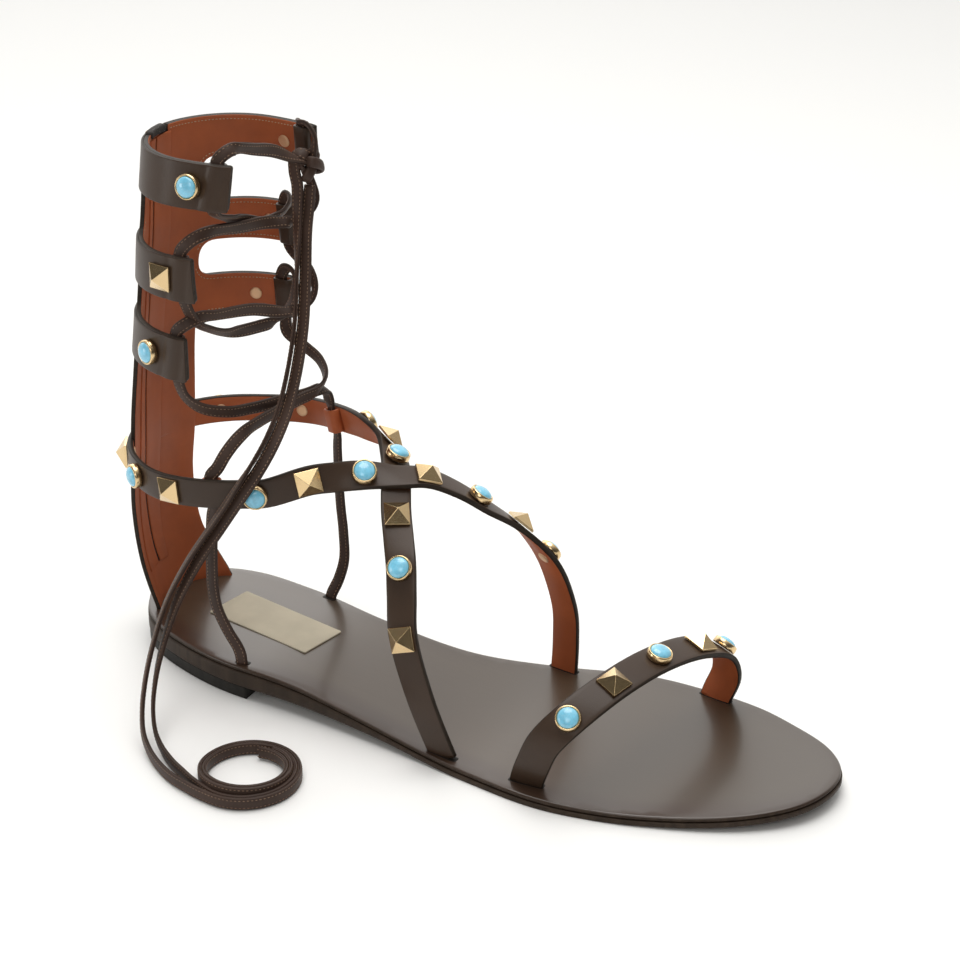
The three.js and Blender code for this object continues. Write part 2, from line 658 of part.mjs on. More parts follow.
// Frames along a smooth curve through the rows: outer face's middle, outward and sideways
function strapFrames(rows, steps) {
  const path = new THREE.CatmullRomCurve3(rows.map((row) => row.point));
  const outwardPath = new THREE.CatmullRomCurve3(rows.map((row) => row.outward));
  path.arcLengthDivisions = 400;
  return Array.from({ length: steps + 1 }, (_, i) => {
    const t = path.getUtoTmapping(i / steps);
    const tangent = path.getTangent(t);
    const outward = outwardPath.getPoint(t);
    outward.addScaledVector(tangent, -outward.dot(tangent)).normalize();
    const across = new THREE.Vector3().crossVectors(tangent, outward);
    return { point: path.getPoint(t), tangent, outward, across };
  });
}

function ribbon(frames, width, thickness) {
  const rings = frames.map(({ point, outward, across }) => {
    const corner = (side, depth) => point.clone()
      .addScaledVector(across, (side * width) / 2)
      .addScaledVector(outward, -depth);
    return [corner(-1, 0), corner(1, 0), corner(1, thickness), corner(-1, thickness)];
  });
  return solidFrom(skinRings(rings, [[0, 1, 2], [0, 2, 3]]));
}

const lateralRows = [...ankleRows(-1, LATERAL_LEAVES), ...LATERAL_STRAP.map(strapRow)];
const medialRows = [...ankleRows(1, MEDIAL_LEAVES), ...MEDIAL_STRAP.map(strapRow)];
const toeRows = TOE_STRAP.map(strapRow);

// The lace's keepers behind the ankle strap
const keeperFrames = [
  strapFrames(lateralRows, STUD_STEPS)[Math.round(LATERAL_KEEPER * STUD_STEPS)],
  strapFrames(medialRows, STUD_STEPS)[Math.round(MEDIAL_KEEPER * STUD_STEPS)],
];

function keeper(frame) {
  const wall = (outline, reach) => {
    const rings = [-reach, reach].map((up) => outline.map(([along, out]) => frame.point.clone()
      .addScaledVector(frame.tangent, along)
      .addScaledVector(frame.outward, out)
      .addScaledVector(frame.across, up)));
    return solidFrom(skinRings(rings, bandFaces(outline)));
  };
  const { box, slot } = tunnelOutlines(-STRAP_WALL);
  const reach = (STRAP_WIDTH - KEEPER_INSET) / 2;
  return wall(box, reach).subtract(wall(slot, reach + TUNNEL_WALL));
}

// The slot that the zip closes, from its end up through the top edge
function zipCut() {
  const low = SEAT_HEIGHT + ZIP_END_HEIGHT;
  const high = SEAT_HEIGHT + SHAFT_HEIGHT;
  const angle = arcAngle(ZIP_SLOT / 2, 0, (low + high) / 2);
  const past = 2 * STRAP_WALL;
  const outline = bandOutline(-angle, angle, past, -PANEL_WALL - past, 2);
  return shaftWall(outline, low, high + past, PANEL_ROWS);
}

function upperSolid(cutter) {
  const pieces = [backPanel()];
  for (const arm of ARMS) {
    pieces.push(armBand(arm), ...armTunnels(arm));
  }
  pieces.push(ribbon(strapFrames(lateralRows, LATERAL_STEPS), STRAP_WIDTH, STRAP_WALL));
  pieces.push(ribbon(strapFrames(medialRows, MEDIAL_STEPS), STRAP_WIDTH, STRAP_WALL));
  pieces.push(...keeperFrames.map(keeper));
  return join(pieces).subtract(zipCut()).subtract(cutter);
}

function toeStrap(cutter) {
  return ribbon(strapFrames(toeRows, TOE_STEPS), TOE_STRAP_WIDTH, STRAP_WALL).subtract(cutter);
}

// Zip

function addZip() {
  const low = SEAT_HEIGHT + ZIP_END_HEIGHT + CLEARANCE;
  const high = SEAT_HEIGHT + SHAFT_HEIGHT - 2 * CLEARANCE;
  const layer = (width, thickness, inset) => {
    const angle = arcAngle(width / 2, 0, (low + high) / 2);
    const outer = (thickness - PANEL_WALL) / 2;
    const outline = bandOutline(-angle, angle, outer, outer - thickness, 2);
    return shaftWall(outline, low + inset, high - inset, ZIP_ROWS);
  };
  const tape = layer(ZIP_SLOT - 2 * CLEARANCE, ZIP_TAPE, 0);
  const teeth = layer(ZIP_TEETH_WIDTH, ZIP_TAPE + 2 * ZIP_TEETH_RISE, 1);
  addPiece('zip_chain', tape.add(teeth), 'zip');
  addPiece('zip_slider', sliderSolid(high - SLIDER_LENGTH - 1), 'slider');
}

function sliderSolid(low) {
  const half = arcAngle(SLIDER_WIDTH / 2, 0, low);
  const narrow = arcAngle(SLIDER_WIDTH / 2 - SLIDER_BEVEL, 0, low);
  const near = STRAP_PROUD + CLEARANCE;
  const far = near + SLIDER_THICKNESS;
  const shoulder = far - SLIDER_BEVEL;
  const outline = [
    [-half, near], [half, near], [half, shoulder], [narrow, far], [-narrow, far], [-half, shoulder],
  ];
  return shaftWall(outline, low, low + SLIDER_LENGTH, 2);
}

// Studs

function pyramidGeometry() {
  const half = PYRAMID_SIZE / 2;
  const square = (z, size) => [[-1, -1], [1, -1], [1, 1], [-1, 1]]
    .map(([x, y]) => new THREE.Vector3(x * size, y * size, z));
  return skinRings([square(0, half), square(PYRAMID_RIM, half), square(PYRAMID_HEIGHT, PYRAMID_TIP)],
    [[0, 1, 2], [0, 2, 3]]);
}

function latheSolid(profile, segments) {
  const lathe = new THREE.LatheGeometry(profile.map(([r, z]) => new THREE.Vector2(r, z)), segments);
  lathe.rotateX(Math.PI / 2);
  return solidFrom(lathe);
}

function settingSolid() {
  const inner = STONE_RADIUS + CLEARANCE;
  const rim = SETTING_RADIUS - SETTING_BEVEL;
  const shoulder = SETTING_HEIGHT - SETTING_BEVEL;
  return latheSolid([
    [0, 0], [SETTING_RADIUS, 0], [SETTING_RADIUS, shoulder], [rim, SETTING_HEIGHT],
    [inner, SETTING_HEIGHT], [inner, SETTING_FLOOR], [0, SETTING_FLOOR],
  ], STUD_SIDES);
}

function stoneSolid() {
  const low = SETTING_FLOOR + CLEARANCE;
  const dome = STONE_RISE - SETTING_HEIGHT + STONE_SINK;
  const shoulder = STONE_RISE - dome;
  return latheSolid([
    [0, low], [STONE_RADIUS, low], [STONE_RADIUS, shoulder],
    [STONE_RADIUS * 0.84, shoulder + dome * 0.55], [STONE_RADIUS * 0.45, shoulder + dome * 0.9],
    [0, STONE_RISE],
  ], STUD_SIDES);
}

const pyramidShape = geometryFrom(solidFrom(pyramidGeometry()));
const settingShape = geometryFrom(settingSolid());
const stoneShape = geometryFrom(stoneSolid());

// Puts a shape on a strap: its own Z looks outward, its X lies along the strap
function placeOn(frame, mesh) {
  const basis = new THREE.Matrix4().makeBasis(
    frame.tangent,
    new THREE.Vector3().crossVectors(frame.outward, frame.tangent),
    frame.outward,
  );
  mesh.quaternion.setFromRotationMatrix(basis);
  mesh.position.copy(frame.point).addScaledVector(frame.outward, CLEARANCE);
}

function addStud(name, frame, pyramid) {
  if (pyramid) {
    placeOn(frame, addPiece(`${name}_pyramid`, pyramidShape, 'gold'));
    return;
  }
  placeOn(frame, addPiece(`${name}_setting`, settingShape, 'gold'));
  placeOn(frame, addPiece(`${name}_stone`, stoneShape, 'stone'));
}

// A stud's flat base stands on the highest of the strap under it, where the strap bends inward,
// or on the edge of a strap that crosses over there
function seated(frames, crossing, frame, half) {
  const near = (strap, reach) => strap.filter(({ point }) => point.distanceTo(frame.point) < reach);
  const edges = (strap, side) => strap.flatMap(({ point, across }) => [-side, side].map((out) => (
    point.clone().addScaledVector(across, out).sub(frame.point)
  )));
  const beside = (offset) => Math.sqrt(offset.lengthSq() - offset.dot(frame.outward) ** 2) < half;
  const own = edges(near(frames, half), half);
  const other = edges(near(crossing, half + STRAP_WIDTH / 2), STRAP_WIDTH / 2).filter(beside);
  const lift = Math.max(0, ...[...own, ...other].map((offset) => offset.dot(frame.outward)));
  return { ...frame, point: frame.point.clone().addScaledVector(frame.outward, lift) };
}

function addStrapStuds(name, rows, studs, crossingRows) {
  const frames = strapFrames(rows, STUD_STEPS);
  const crossing = crossingRows ? strapFrames(crossingRows, STUD_STEPS) : [];
  studs.forEach(({ place, pyramid }, i) => {
    const half = pyramid ? PYRAMID_SIZE / 2 : SETTING_RADIUS;
    const frame = frames[Math.round(place * STUD_STEPS)];
    addStud(`${name}_${i + 1}`, seated(frames, crossing, frame, half), pyramid);
  });
}

// Where a stud stands on an arm: its outward direction leans with the slope of the shaft
function shaftFrame(angle, z) {
  const spot = (turn, height) => shaftPoint(angle + turn, height, STRAP_PROUD);
  const tangent = spot(DEGREE, z).sub(spot(-DEGREE, z)).normalize();
  const up = spot(0, z + ARM_WIDTH / 2).sub(spot(0, z - ARM_WIDTH / 2));
  const outward = up.cross(tangent).normalize();
  return { point: spot(0, z), outward, tangent };
}

function addArmStuds() {
  for (const arm of ARMS) {
    for (const [side, word] of [[-1, 'lateral'], [1, 'medial']]) {
      const frame = shaftFrame(side * arm.stud * DEGREE, armHeight(arm));
      addStud(`${word}_${arm.name}_arm`, frame, arm.pyramid);
    }
  }
}

// Lace

const toPoints = (route) => route.map((point) => new THREE.Vector3(...point));

// How far round from the zip a point lies
function shaftAngle(point) {
  const section = shaftSection(point.z);
  const away = section.middle - point.x;
  return Math.atan2(point.y / section.half, away / (away > 0 ? section.back : section.front));
}

// Rows of a free stretch, which lies flat round the leg
function laceRows(route) {
  return toPoints(route).map((point) => ({ point, outward: shaftNormal(shaftAngle(point), point.z) }));
}

function laceRibbon(...stretches) {
  const rows = stretches.flat().map(({ point, outward }) => (
    { point: point.clone().addScaledVector(outward, LACE_THICKNESS / 2), outward }
  ));
  const steps = Math.round(rows.length * LACE_STEPS_PER_ROW);
  return ribbon(strapFrames(rows, steps), LACE_WIDTH, LACE_THICKNESS);
}

// Rows along the middle of an arm's tunnel, at heights from the arm's own middle
function tunnelRows(arm, side, heights) {
  const angle = side * armTunnelAngle(arm);
  const depth = STRAP_PROUD - STRAP_WALL - TUNNEL_DEPTH / 2;
  return heights.map((up) => {
    const z = armHeight(arm) + up;
    return { point: shaftPoint(angle, z, depth), outward: shaftNormal(angle, z) };
  });
}

// Where a lace comes up into a tunnel, and where the next stretch leaves it
function intoTunnel(arm, side) {
  return tunnelRows(arm, side, [-ARM_WIDTH / 2 - LACE_THICKNESS, -ARM_WIDTH / 4, -CLEARANCE]);
}

function outOfTunnel(arm, side) {
  return tunnelRows(arm, side, [CLEARANCE, ARM_WIDTH / 4, ARM_WIDTH / 2 + LACE_THICKNESS]);
}

function throughKeeper({ point, outward, across }) {
  const up = across.clone().multiplyScalar(Math.sign(across.z) * STRAP_WIDTH);
  const middle = point.clone().addScaledVector(outward, -STRAP_WALL - TUNNEL_DEPTH / 2);
  return [-0.5, 0, 0.5].map((share) => ({ point: middle.clone().addScaledVector(up, share), outward }));
}

function laceTube(route) {
  const section = new THREE.Shape();
  section.absellipse(0, 0, END_DIAMETER / 2, END_DIAMETER / 2, 0, 2 * Math.PI);
  const path = new THREE.CatmullRomCurve3(toPoints(route));
  const options = { steps: END_STEPS, curveSegments: 4, bevelEnabled: false, extrudePath: path };
  return solidFrom(new THREE.ExtrudeGeometry(section, options));
}

function knotSolid() {
  const ball = new THREE.IcosahedronGeometry(1, 1);
  ball.scale(...KNOT_RADII);
  ball.translate(...KNOT_CENTRE);
  const [top] = ARMS;
  const fromLateral = laceRibbon(outOfTunnel(top, -1), laceRows(LATERAL_TOP));
  const fromMedial = laceRibbon(outOfTunnel(top, 1), laceRows(MEDIAL_TOP));
  return join([fromLateral, fromMedial, solidFrom(ball)]);
}

function coilSolid() {
  const ring = latheSolid([
    [COIL_INNER, 0], [COIL_OUTER, 0], [COIL_OUTER, COIL_HEIGHT], [COIL_INNER, COIL_HEIGHT],
    [COIL_INNER, 0],
  ], COIL_SEGMENTS);
  return ring.translate([COIL_CENTRE[0], COIL_CENTRE[1], 0]);
}

function addLace(cutter) {
  const [top, middle, low] = ARMS;
  const [lateral, medial] = keeperFrames.map(throughKeeper);
  const risers = [
    laceRibbon(laceRows(LATERAL_FOOT), lateral, laceRows(LATERAL_LOW), intoTunnel(low, 1)),
    laceRibbon(laceRows(MEDIAL_FOOT), medial, laceRows(MEDIAL_LOW), intoTunnel(low, -1)),
  ];
  const middles = [
    laceRibbon(outOfTunnel(low, 1), laceRows(MEDIAL_MIDDLE), intoTunnel(middle, -1)),
    laceRibbon(outOfTunnel(low, -1), laceRows(LATERAL_MIDDLE), intoTunnel(middle, 1)),
  ];
  const highs = [
    laceRibbon(outOfTunnel(middle, -1), laceRows(LATERAL_HIGH), intoTunnel(top, 1)),
    laceRibbon(outOfTunnel(middle, 1), laceRows(MEDIAL_HIGH), intoTunnel(top, -1)),
  ];
  addPiece('lace_low', join(risers).subtract(cutter), 'lace');
  addPiece('lace_middle', join(middles), 'lace');
  addPiece('lace_high', join(highs), 'lace');
  addPiece('lace_knot', knotSolid(), 'lace');
  addPiece('lace_end_a', laceTube(END_A_ROUTE), 'lace');
  addPiece('lace_end_b', laceTube(END_B_ROUTE), 'lace');
  addPiece('lace_coil', coilSolid(), 'lace');
}

const cutter = footbedCutter();
addSole();
addLabel();
addPiece('upper', upperSolid(cutter), 'outer');
addPiece('toe_strap', toeStrap(cutter), 'outer');
addZip();
addStrapStuds('lateral_strap', lateralRows, LATERAL_STUDS);
addStrapStuds('medial_strap', medialRows, MEDIAL_STUDS, lateralRows);
addStrapStuds('toe_strap', toeRows, TOE_STUDS);
addArmStuds();
addLace(cutter);

export default group;
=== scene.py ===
"""Gladiator sandal for a right foot, dressed in its leather, lining, studs, laces and zip.

Everything is in metres. +X points to the toe, +Y to the inner side of the foot, +Z up, and the
origin is on the floor under the middle of the heel.
"""

import math

import bmesh
import bpy
import numpy as np
from mathutils import Matrix, Vector
from mathutils.geometry import delaunay_2d_cdt


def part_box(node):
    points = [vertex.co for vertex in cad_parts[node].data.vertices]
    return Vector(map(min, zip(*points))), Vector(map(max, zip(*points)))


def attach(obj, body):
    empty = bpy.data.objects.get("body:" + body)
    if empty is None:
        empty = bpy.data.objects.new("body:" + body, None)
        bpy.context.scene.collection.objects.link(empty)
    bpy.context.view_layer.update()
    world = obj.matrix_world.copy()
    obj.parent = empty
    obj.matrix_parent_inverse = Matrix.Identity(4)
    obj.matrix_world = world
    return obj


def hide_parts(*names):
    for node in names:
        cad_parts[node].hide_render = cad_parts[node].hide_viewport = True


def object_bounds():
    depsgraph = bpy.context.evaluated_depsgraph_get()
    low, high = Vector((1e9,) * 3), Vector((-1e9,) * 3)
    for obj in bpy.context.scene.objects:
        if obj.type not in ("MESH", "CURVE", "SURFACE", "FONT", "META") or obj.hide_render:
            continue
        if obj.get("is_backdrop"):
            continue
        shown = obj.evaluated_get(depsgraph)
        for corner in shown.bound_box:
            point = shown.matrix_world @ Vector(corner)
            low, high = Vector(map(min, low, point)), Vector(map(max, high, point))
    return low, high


bl_info = {
    "name": "Gladiator Sandal",
    "version": (1, 0, 0),
    "blender": (4, 5, 0),
    "location": "View3D > Sidebar > Sandal",
    "description": "Builds a studded, laced gladiator sandal on its frame",
    "category": "Add Mesh",
}

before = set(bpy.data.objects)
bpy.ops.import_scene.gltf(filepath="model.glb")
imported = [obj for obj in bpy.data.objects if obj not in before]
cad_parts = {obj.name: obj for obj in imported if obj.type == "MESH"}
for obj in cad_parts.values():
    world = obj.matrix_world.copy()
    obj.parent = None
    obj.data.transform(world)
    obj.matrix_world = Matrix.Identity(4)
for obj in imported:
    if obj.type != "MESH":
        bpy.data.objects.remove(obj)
CAD_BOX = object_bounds()

MM = 0.001
DEGREE = math.pi / 180
BODY = "root"

# Driving sizes, the same as the solids have
SOLE_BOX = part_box("outsole")
LENGTH = SOLE_BOX[1][0] - SOLE_BOX[0][0]
HEEL_REACH = -SOLE_BOX[0][0]
BALL_WIDTH = 84 * MM
SEAT_HEIGHT = 11.5 * MM
SOLE_THICKNESS = 3.4 * MM
TOE_SPRING = 4 * MM
HEEL_LIFT = 4 * MM
INSOLE_THICKNESS = 1.6 * MM
INSTEP_HEIGHT = 70 * MM
EDGE_INSET = 0.4 * MM
CLEARANCE = 0.3 * MM
SHAFT_HEIGHT = 168.8 * MM
ANKLE_WIDTH = 72 * MM
PANEL_WALL = 1.6 * MM
STRAP_WALL = 2 * MM
STRAP_PROUD = 0.8 * MM
STRAP_WIDTH = 9.6 * MM
TOE_STRAP_WIDTH = 10.8 * MM
ARM_WIDTH = 14 * MM
ANKLE_STRAP_HEIGHT = 61 * MM
ANKLE_STRAP_CLIMB = 4.5 * MM
TUNNEL_LENGTH = 5.4 * MM
TUNNEL_DEPTH = 2.6 * MM
TUNNEL_WALL = 1.2 * MM
LATERAL_KEEPER = 0.28
MEDIAL_KEEPER = 0.34
KEEPER_INSET = 1.6 * MM
ZIP_SLOT = 5 * MM
ZIP_END_HEIGHT = 24 * MM
SLIDER_LENGTH = 9 * MM
SLIDER_WIDTH = 7.4 * MM
SLIDER_THICKNESS = 2.2 * MM
PYRAMID_SIZE = 8 * MM
PYRAMID_RIM = 0.7 * MM
PYRAMID_HEIGHT = 3.9 * MM
SETTING_RADIUS = 4.1 * MM
SETTING_HEIGHT = 2.3 * MM
STONE_RADIUS = 3.3 * MM
STONE_RISE = 3.5 * MM
LABEL_LENGTH = 44 * MM
LABEL_WIDTH = 18.5 * MM
LABEL_TURN = -9.7
LABEL_PLACE = (0.203, -0.0155)

# Sole outline: share of LENGTH from the heel's back, then medial and lateral edge as shares of
# BALL_WIDTH from the centre line
SOLE_OUTLINE = [
    (0, 0, 0), (0.012, 0.133, -0.094), (0.045, 0.262, -0.214), (0.11, 0.321, -0.314),
    (0.2, 0.301, -0.381), (0.32, 0.243, -0.396), (0.45, 0.257, -0.432), (0.57, 0.379, -0.481),
    (0.68, 0.482, -0.515), (0.76, 0.494, -0.483), (0.84, 0.462, -0.41), (0.91, 0.374, -0.315),
    (0.955, 0.292, -0.219), (0.985, 0.195, -0.112), (1, 0.058, 0.058),
]
HEEL_BREAST = 0.238
ARCH_END = 0.595
EDGE_TAPER_END = 0.5
SPRING_START = 0.734
TIP_ANGLE = 0.03

# Shaft sections: height as a share of SHAFT_HEIGHT above the seat; back, middle and front as
# shares of LENGTH; half as a share of ANKLE_WIDTH; the panel's lateral and medial edges in degrees
SHAFT_SECTIONS = [
    (0, -0.095, 0.048, 0.238, 0.375, -30, 50),
    (0.05, -0.107, 0.048, 0.238, 0.395, -29, 44),
    (0.11, -0.1165, 0.048, 0.238, 0.417, -29, 37),
    (0.228, -0.118, 0.048, 0.218, 0.472, -30, 31),
    (0.347, -0.109, 0.048, 0.19, 0.5, -30, 30),
    (0.435, -0.104, 0.048, 0.183, 0.493, -30, 30),
    (0.524, -0.098, 0.044, 0.183, 0.458, -31, 31),
    (0.672, -0.084, 0.04, 0.183, 0.431, -32, 32),
    (0.82, -0.0695, 0.032, 0.183, 0.421, -33, 33),
    (1, -0.061, 0.04, 0.175, 0.354, -34, 34),
]

# Arms: name, height of the middle as a share of SHAFT_HEIGHT above the seat, reach and place of
# the stud in degrees round from the zip, and whether the stud is a pyramid
ARMS = [
    ("top", 0.9585, 114, 97, False),
    ("middle", 0.783, 100, 83, True),
    ("low", 0.626, 93, 69, False),
]

# Crossed straps past the ankle and the toe strap: along as a share of LENGTH, across of
# BALL_WIDTH, height of INSTEP_HEIGHT above the footbed, and how the outer face looks in degrees
LATERAL_STRAP = [
    (0.3194, -0.25, 0.994, -54, 10), (0.3472, -0.186, 1.016, -47, 24), (0.377, -0.119, 1.036, -38, 50),
    (0.4063, -0.051, 1.036, -26, 70), (0.4345, 0.03, 1.029, 0, 72), (0.4655, 0.11, 0.968, 30, 66),
    (0.498, 0.173, 0.885, 42, 57), (0.5317, 0.214, 0.816, 56, 48), (0.5516, 0.256, 0.724, 66, 37),
    (0.5615, 0.292, 0.64, 73, 28), (0.5702, 0.321, 0.536, 79, 18), (0.5794, 0.357, 0.336, 83, 8),
    (0.5794, 0.369, 0.182, 85, 2), (0.5774, 0.371, 0.003, 86, -2), (0.5754, 0.371, -0.058, 86, -4),
]
MEDIAL_STRAP = [
    (0.2516, 0.329, 0.963, 64, 6), (0.2984, 0.25, 1.007, 55, 16), (0.3472, 0.179, 1.027, 40, 38),
    (0.379, 0.076, 1.025, 18, 64), (0.404, -0.046, 1.014, -14, 70), (0.4238, -0.15, 0.934, -46, 58),
    (0.4437, -0.238, 0.861, -66, 42), (0.4603, -0.312, 0.792, -76, 30), (0.4714, -0.369, 0.674, -82, 18),
    (0.4829, -0.424, 0.533, -86, 9), (0.5119, -0.455, 0.27, -89, 1), (0.5397, -0.437, 0.001, -91, -6),
    (0.5476, -0.43, -0.068, -91, -8),
]
TOE_STRAP = [
    (0.6556, -0.438, -0.063, -88, -8), (0.6595, -0.444, 0.011, -88, -6), (0.6706, -0.46, 0.12, -86, 2),
    (0.6849, -0.458, 0.243, -80, 20), (0.7087, -0.405, 0.36, -66, 46), (0.7369, -0.202, 0.444, -34, 70),
    (0.7599, 0.036, 0.452, 0, 74), (0.781, 0.274, 0.391, 44, 64), (0.7948, 0.411, 0.297, 66, 36),
    (0.7964, 0.462, 0.151, 78, 8), (0.7849, 0.462, 0.024, 82, -6), (0.7778, 0.458, -0.062, 82, -10),
]
FIRST_ROW = 5
ROW_STEP = 10
CLIMB_START = 60
CLIMB_END = 140
LATERAL_LEAVES = 125
MEDIAL_LEAVES = 95

# Studs: share of the strap's length and whether it is a pyramid
LATERAL_STUDS = [
    (0.067, True), (0.145, False), (0.218, True), (0.346, False), (0.418, True),
    (0.492, False), (0.579, True), (0.658, False), (0.724, True), (0.788, False),
]
MEDIAL_STUDS = [
    (0.111, False), (0.241, True), (0.404, False), (0.47, True),
    (0.52, False), (0.629, True), (0.71, False), (0.804, True),
]
TOE_STUDS = [(0.252, False), (0.393, True), (0.546, False), (0.701, True), (0.797, False)]

# Lace routes in millimetres, as the solids have them but for the hump of MEDIAL_TOP, which lies 1 mm lower
LATERAL_FOOT = [
    (26.6, -29.6, 6), (26.8, -29.8, 12.4), (26.2, -30.2, 16.8), (22.4, -30.8, 23.6), (19, -31, 31),
    (17.8, -31, 38), (17.8, -31, 45), (18.6, -31.3, 56.5), (20, -32, 65.5),
]
LATERAL_LOW = [
    (22.6, -31.6, 82.6), (24.6, -29.8, 87), (26, -26, 90.4), (26.4, -20, 92), (26.8, -12.6, 92.4),
    (27.4, -4, 92.4), (28.6, 7, 92.4), (30.2, 15.4, 92.8), (29.8, 21.6, 95.2), (25, 26, 98.6),
    (16.4, 28.8, 101.6), (10, 29.6, 105),
]
MEDIAL_FOOT = [
    (28.4, 22.2, 6), (28.6, 22.6, 12), (30.6, 24.6, 18), (32.6, 25.4, 26), (32.4, 25.8, 36),
    (31.4, 26, 47), (31, 26, 58), (31, 25.8, 68),
]
MEDIAL_LOW = [
    (28.4, 25.4, 85.6), (28.8, 23.6, 89.4), (28.8, 19.6, 91.4), (28.2, 12, 92.4), (25.6, 0, 94),
    (22.6, -10, 95), (19, -19.6, 96.6), (13.6, -26.2, 99.4), (9.6, -28.8, 103.6),
]
MEDIAL_MIDDLE = [
    (12.2, 27.6, 128.6), (16.8, 25, 127.6), (19, 20.4, 121.4), (18.6, 13, 117), (16.2, 3, 117),
    (14, -10, 119.4), (12.9, -18.5, 123.4), (12, -24, 127.4),
]
LATERAL_MIDDLE = [
    (11, -27.4, 128), (13.2, -23.2, 129), (15, -17, 128), (18.2, -2, 125.2), (22.6, 13, 120.2),
    (25, 19.6, 121.2), (25.6, 23.4, 124.6), (22.4, 26, 129.4),
]
LATERAL_HIGH = [
    (13.8, -26.6, 155.4), (16.8, -21, 157), (19.2, -8, 155), (20.8, 4, 153), (24.6, 12, 151.4),
    (27, 18, 152.6), (28, 22, 156.4),
]
MEDIAL_HIGH = [
    (14.4, 26.4, 154.4), (17.4, 23, 154), (18.8, 18, 152.6), (19, 12, 151.6), (19.4, 4, 152.6),
    (18, -4, 155.8), (18.8, -13, 159.4),
]
LATERAL_TOP = [
    (24.4, -19.8, 183.6), (24.8, -14, 183), (25.2, -7, 180.8), (26.2, 2, 177.8), (27.6, 10, 173.6),
    (30, 16, 170.4),
]
MEDIAL_TOP = [(25, 20.2, 181.9), (27.8, 19.6, 181.3), (30.6, 18.6, 177.8), (30.4, 16.6, 172)]
KNOT_CENTRE = (30.4, 16, 169.6)
KNOT_RADII = (3.5, 3.3, 5.4)
END_A_ROUTE = [
    (27.4, 12.6, 163.8), (28, 11.4, 158), (29.5, 8.5, 150), (32.1, 3.3, 137), (34.8, -3.3, 123),
    (36.8, -11.6, 110), (38.8, -21.1, 100.6), (39, -29.4, 93.6), (37.2, -35.4, 87.2),
    (33.8, -38.3, 80.6), (29.5, -39.6, 73.4), (24.7, -41, 65.6), (18.5, -45.5, 54), (13.9, -50.9, 41.6),
    (12, -56.1, 30), (12, -61.6, 19.6), (13.9, -67.2, 11), (17.8, -72.6, 5.6), (23.6, -77.4, 3),
    (31.2, -82.2, 2.3), (37.8, -85.3, 2.3), (44.4, -87.1, 2.3),
]
END_B_ROUTE = [
    (31, 14.5, 163.8), (31.2, 13, 158), (32, 9.8, 150), (34.4, 4.7, 137), (37.2, -2, 123),
    (39.3, -10.2, 110), (41.3, -19.6, 100.6), (41.7, -27.9, 93.6), (40.2, -33.9, 87.2),
    (36.7, -36.7, 80.6), (32.3, -38, 73.4), (27.6, -39.4, 65.6), (21.4, -43.9, 54), (16.8, -49.2, 41.6),
    (14.8, -54.4, 30), (14.8, -60, 19.6), (16.8, -65.4, 11), (20.8, -70.2, 5.6), (26.4, -74.4, 3),
    (33.2, -78.6, 2.3), (39.8, -81.9, 2.3),
]
COIL_CENTRE = (56.8, -71.7)
FLOOR_REST = 2.3

# Each lace end's turns round the coil: radius of its first turn, radius where it comes in, the
# angles of its start and end in degrees, and the degrees that it takes to settle, in millimetres
COIL_TURNS = {
    "a": {"first": 17.2, "start": -128.8, "stop": 446, "settle": 35},
    "b": {"first": 15.8, "start": -149, "stop": 466, "settle": 40},
}
COIL_ENTRY = 19.8
COIL_PITCH = 2.8
COIL_LIFT = 2
LENGTH_A = 0.377
LENGTH_B = 0.364


def linear(code):
    """A colour as light from its code in hexadecimal digits."""
    channels = [int(code[i:i + 2], 16) / 255 for i in (0, 2, 4)]
    return tuple(c / 12.92 if c <= 0.04045 else ((c + 0.055) / 1.055) ** 2.4 for c in channels)


def clamp01(value):
    return np.clip(value, 0, 1)


def smoothstep(value, low, high):
    share = clamp01((np.asarray(value, float) - low) / (high - low))
    return share * share * (3 - 2 * share)


def lerp(low, high, share):
    return low + (high - low) * share


def unit(vectors):
    return vectors / np.linalg.norm(vectors, axis=-1, keepdims=True)


def runs(points):
    """Length from the first point to each point."""
    return np.concatenate([[0], np.cumsum(np.linalg.norm(np.diff(points, axis=0), axis=1))])


def table_curve(keys, rows):
    """Smooth values through a table's rows, looked up by its keys."""
    keys = np.asarray(keys, float)
    rows = np.asarray(rows, float)
    last = len(keys) - 1

    def at(value):
        value = np.clip(np.asarray(value, float), keys[0], keys[last])
        right = np.clip(np.searchsorted(keys, value, side="right"), 1, last)
        before = np.where(right >= 2, right - 2, right)
        after = np.where(right < last, np.minimum(right + 1, last), right - 1)
        start, stop = keys[right - 1], keys[right]
        half = (stop - start) / 2
        pull = (half / (start - keys[before]))[..., None]
        push = (half / (keys[after] - stop))[..., None]
        p = ((value - start) / (stop - start))[..., None]
        cube, square = p ** 3, p ** 2
        return (
            rows[before] * (-pull * cube + 2 * pull * square - pull * p)
            + rows[right - 1] * ((1 + pull) * cube + (-1.5 - 2 * pull) * square + (pull - 0.5) * p + 1)
            + rows[right] * ((-1 - push) * cube + (1.5 + push) * square + 0.5 * p)
            + rows[after] * push * (cube - square)
        )

    return at


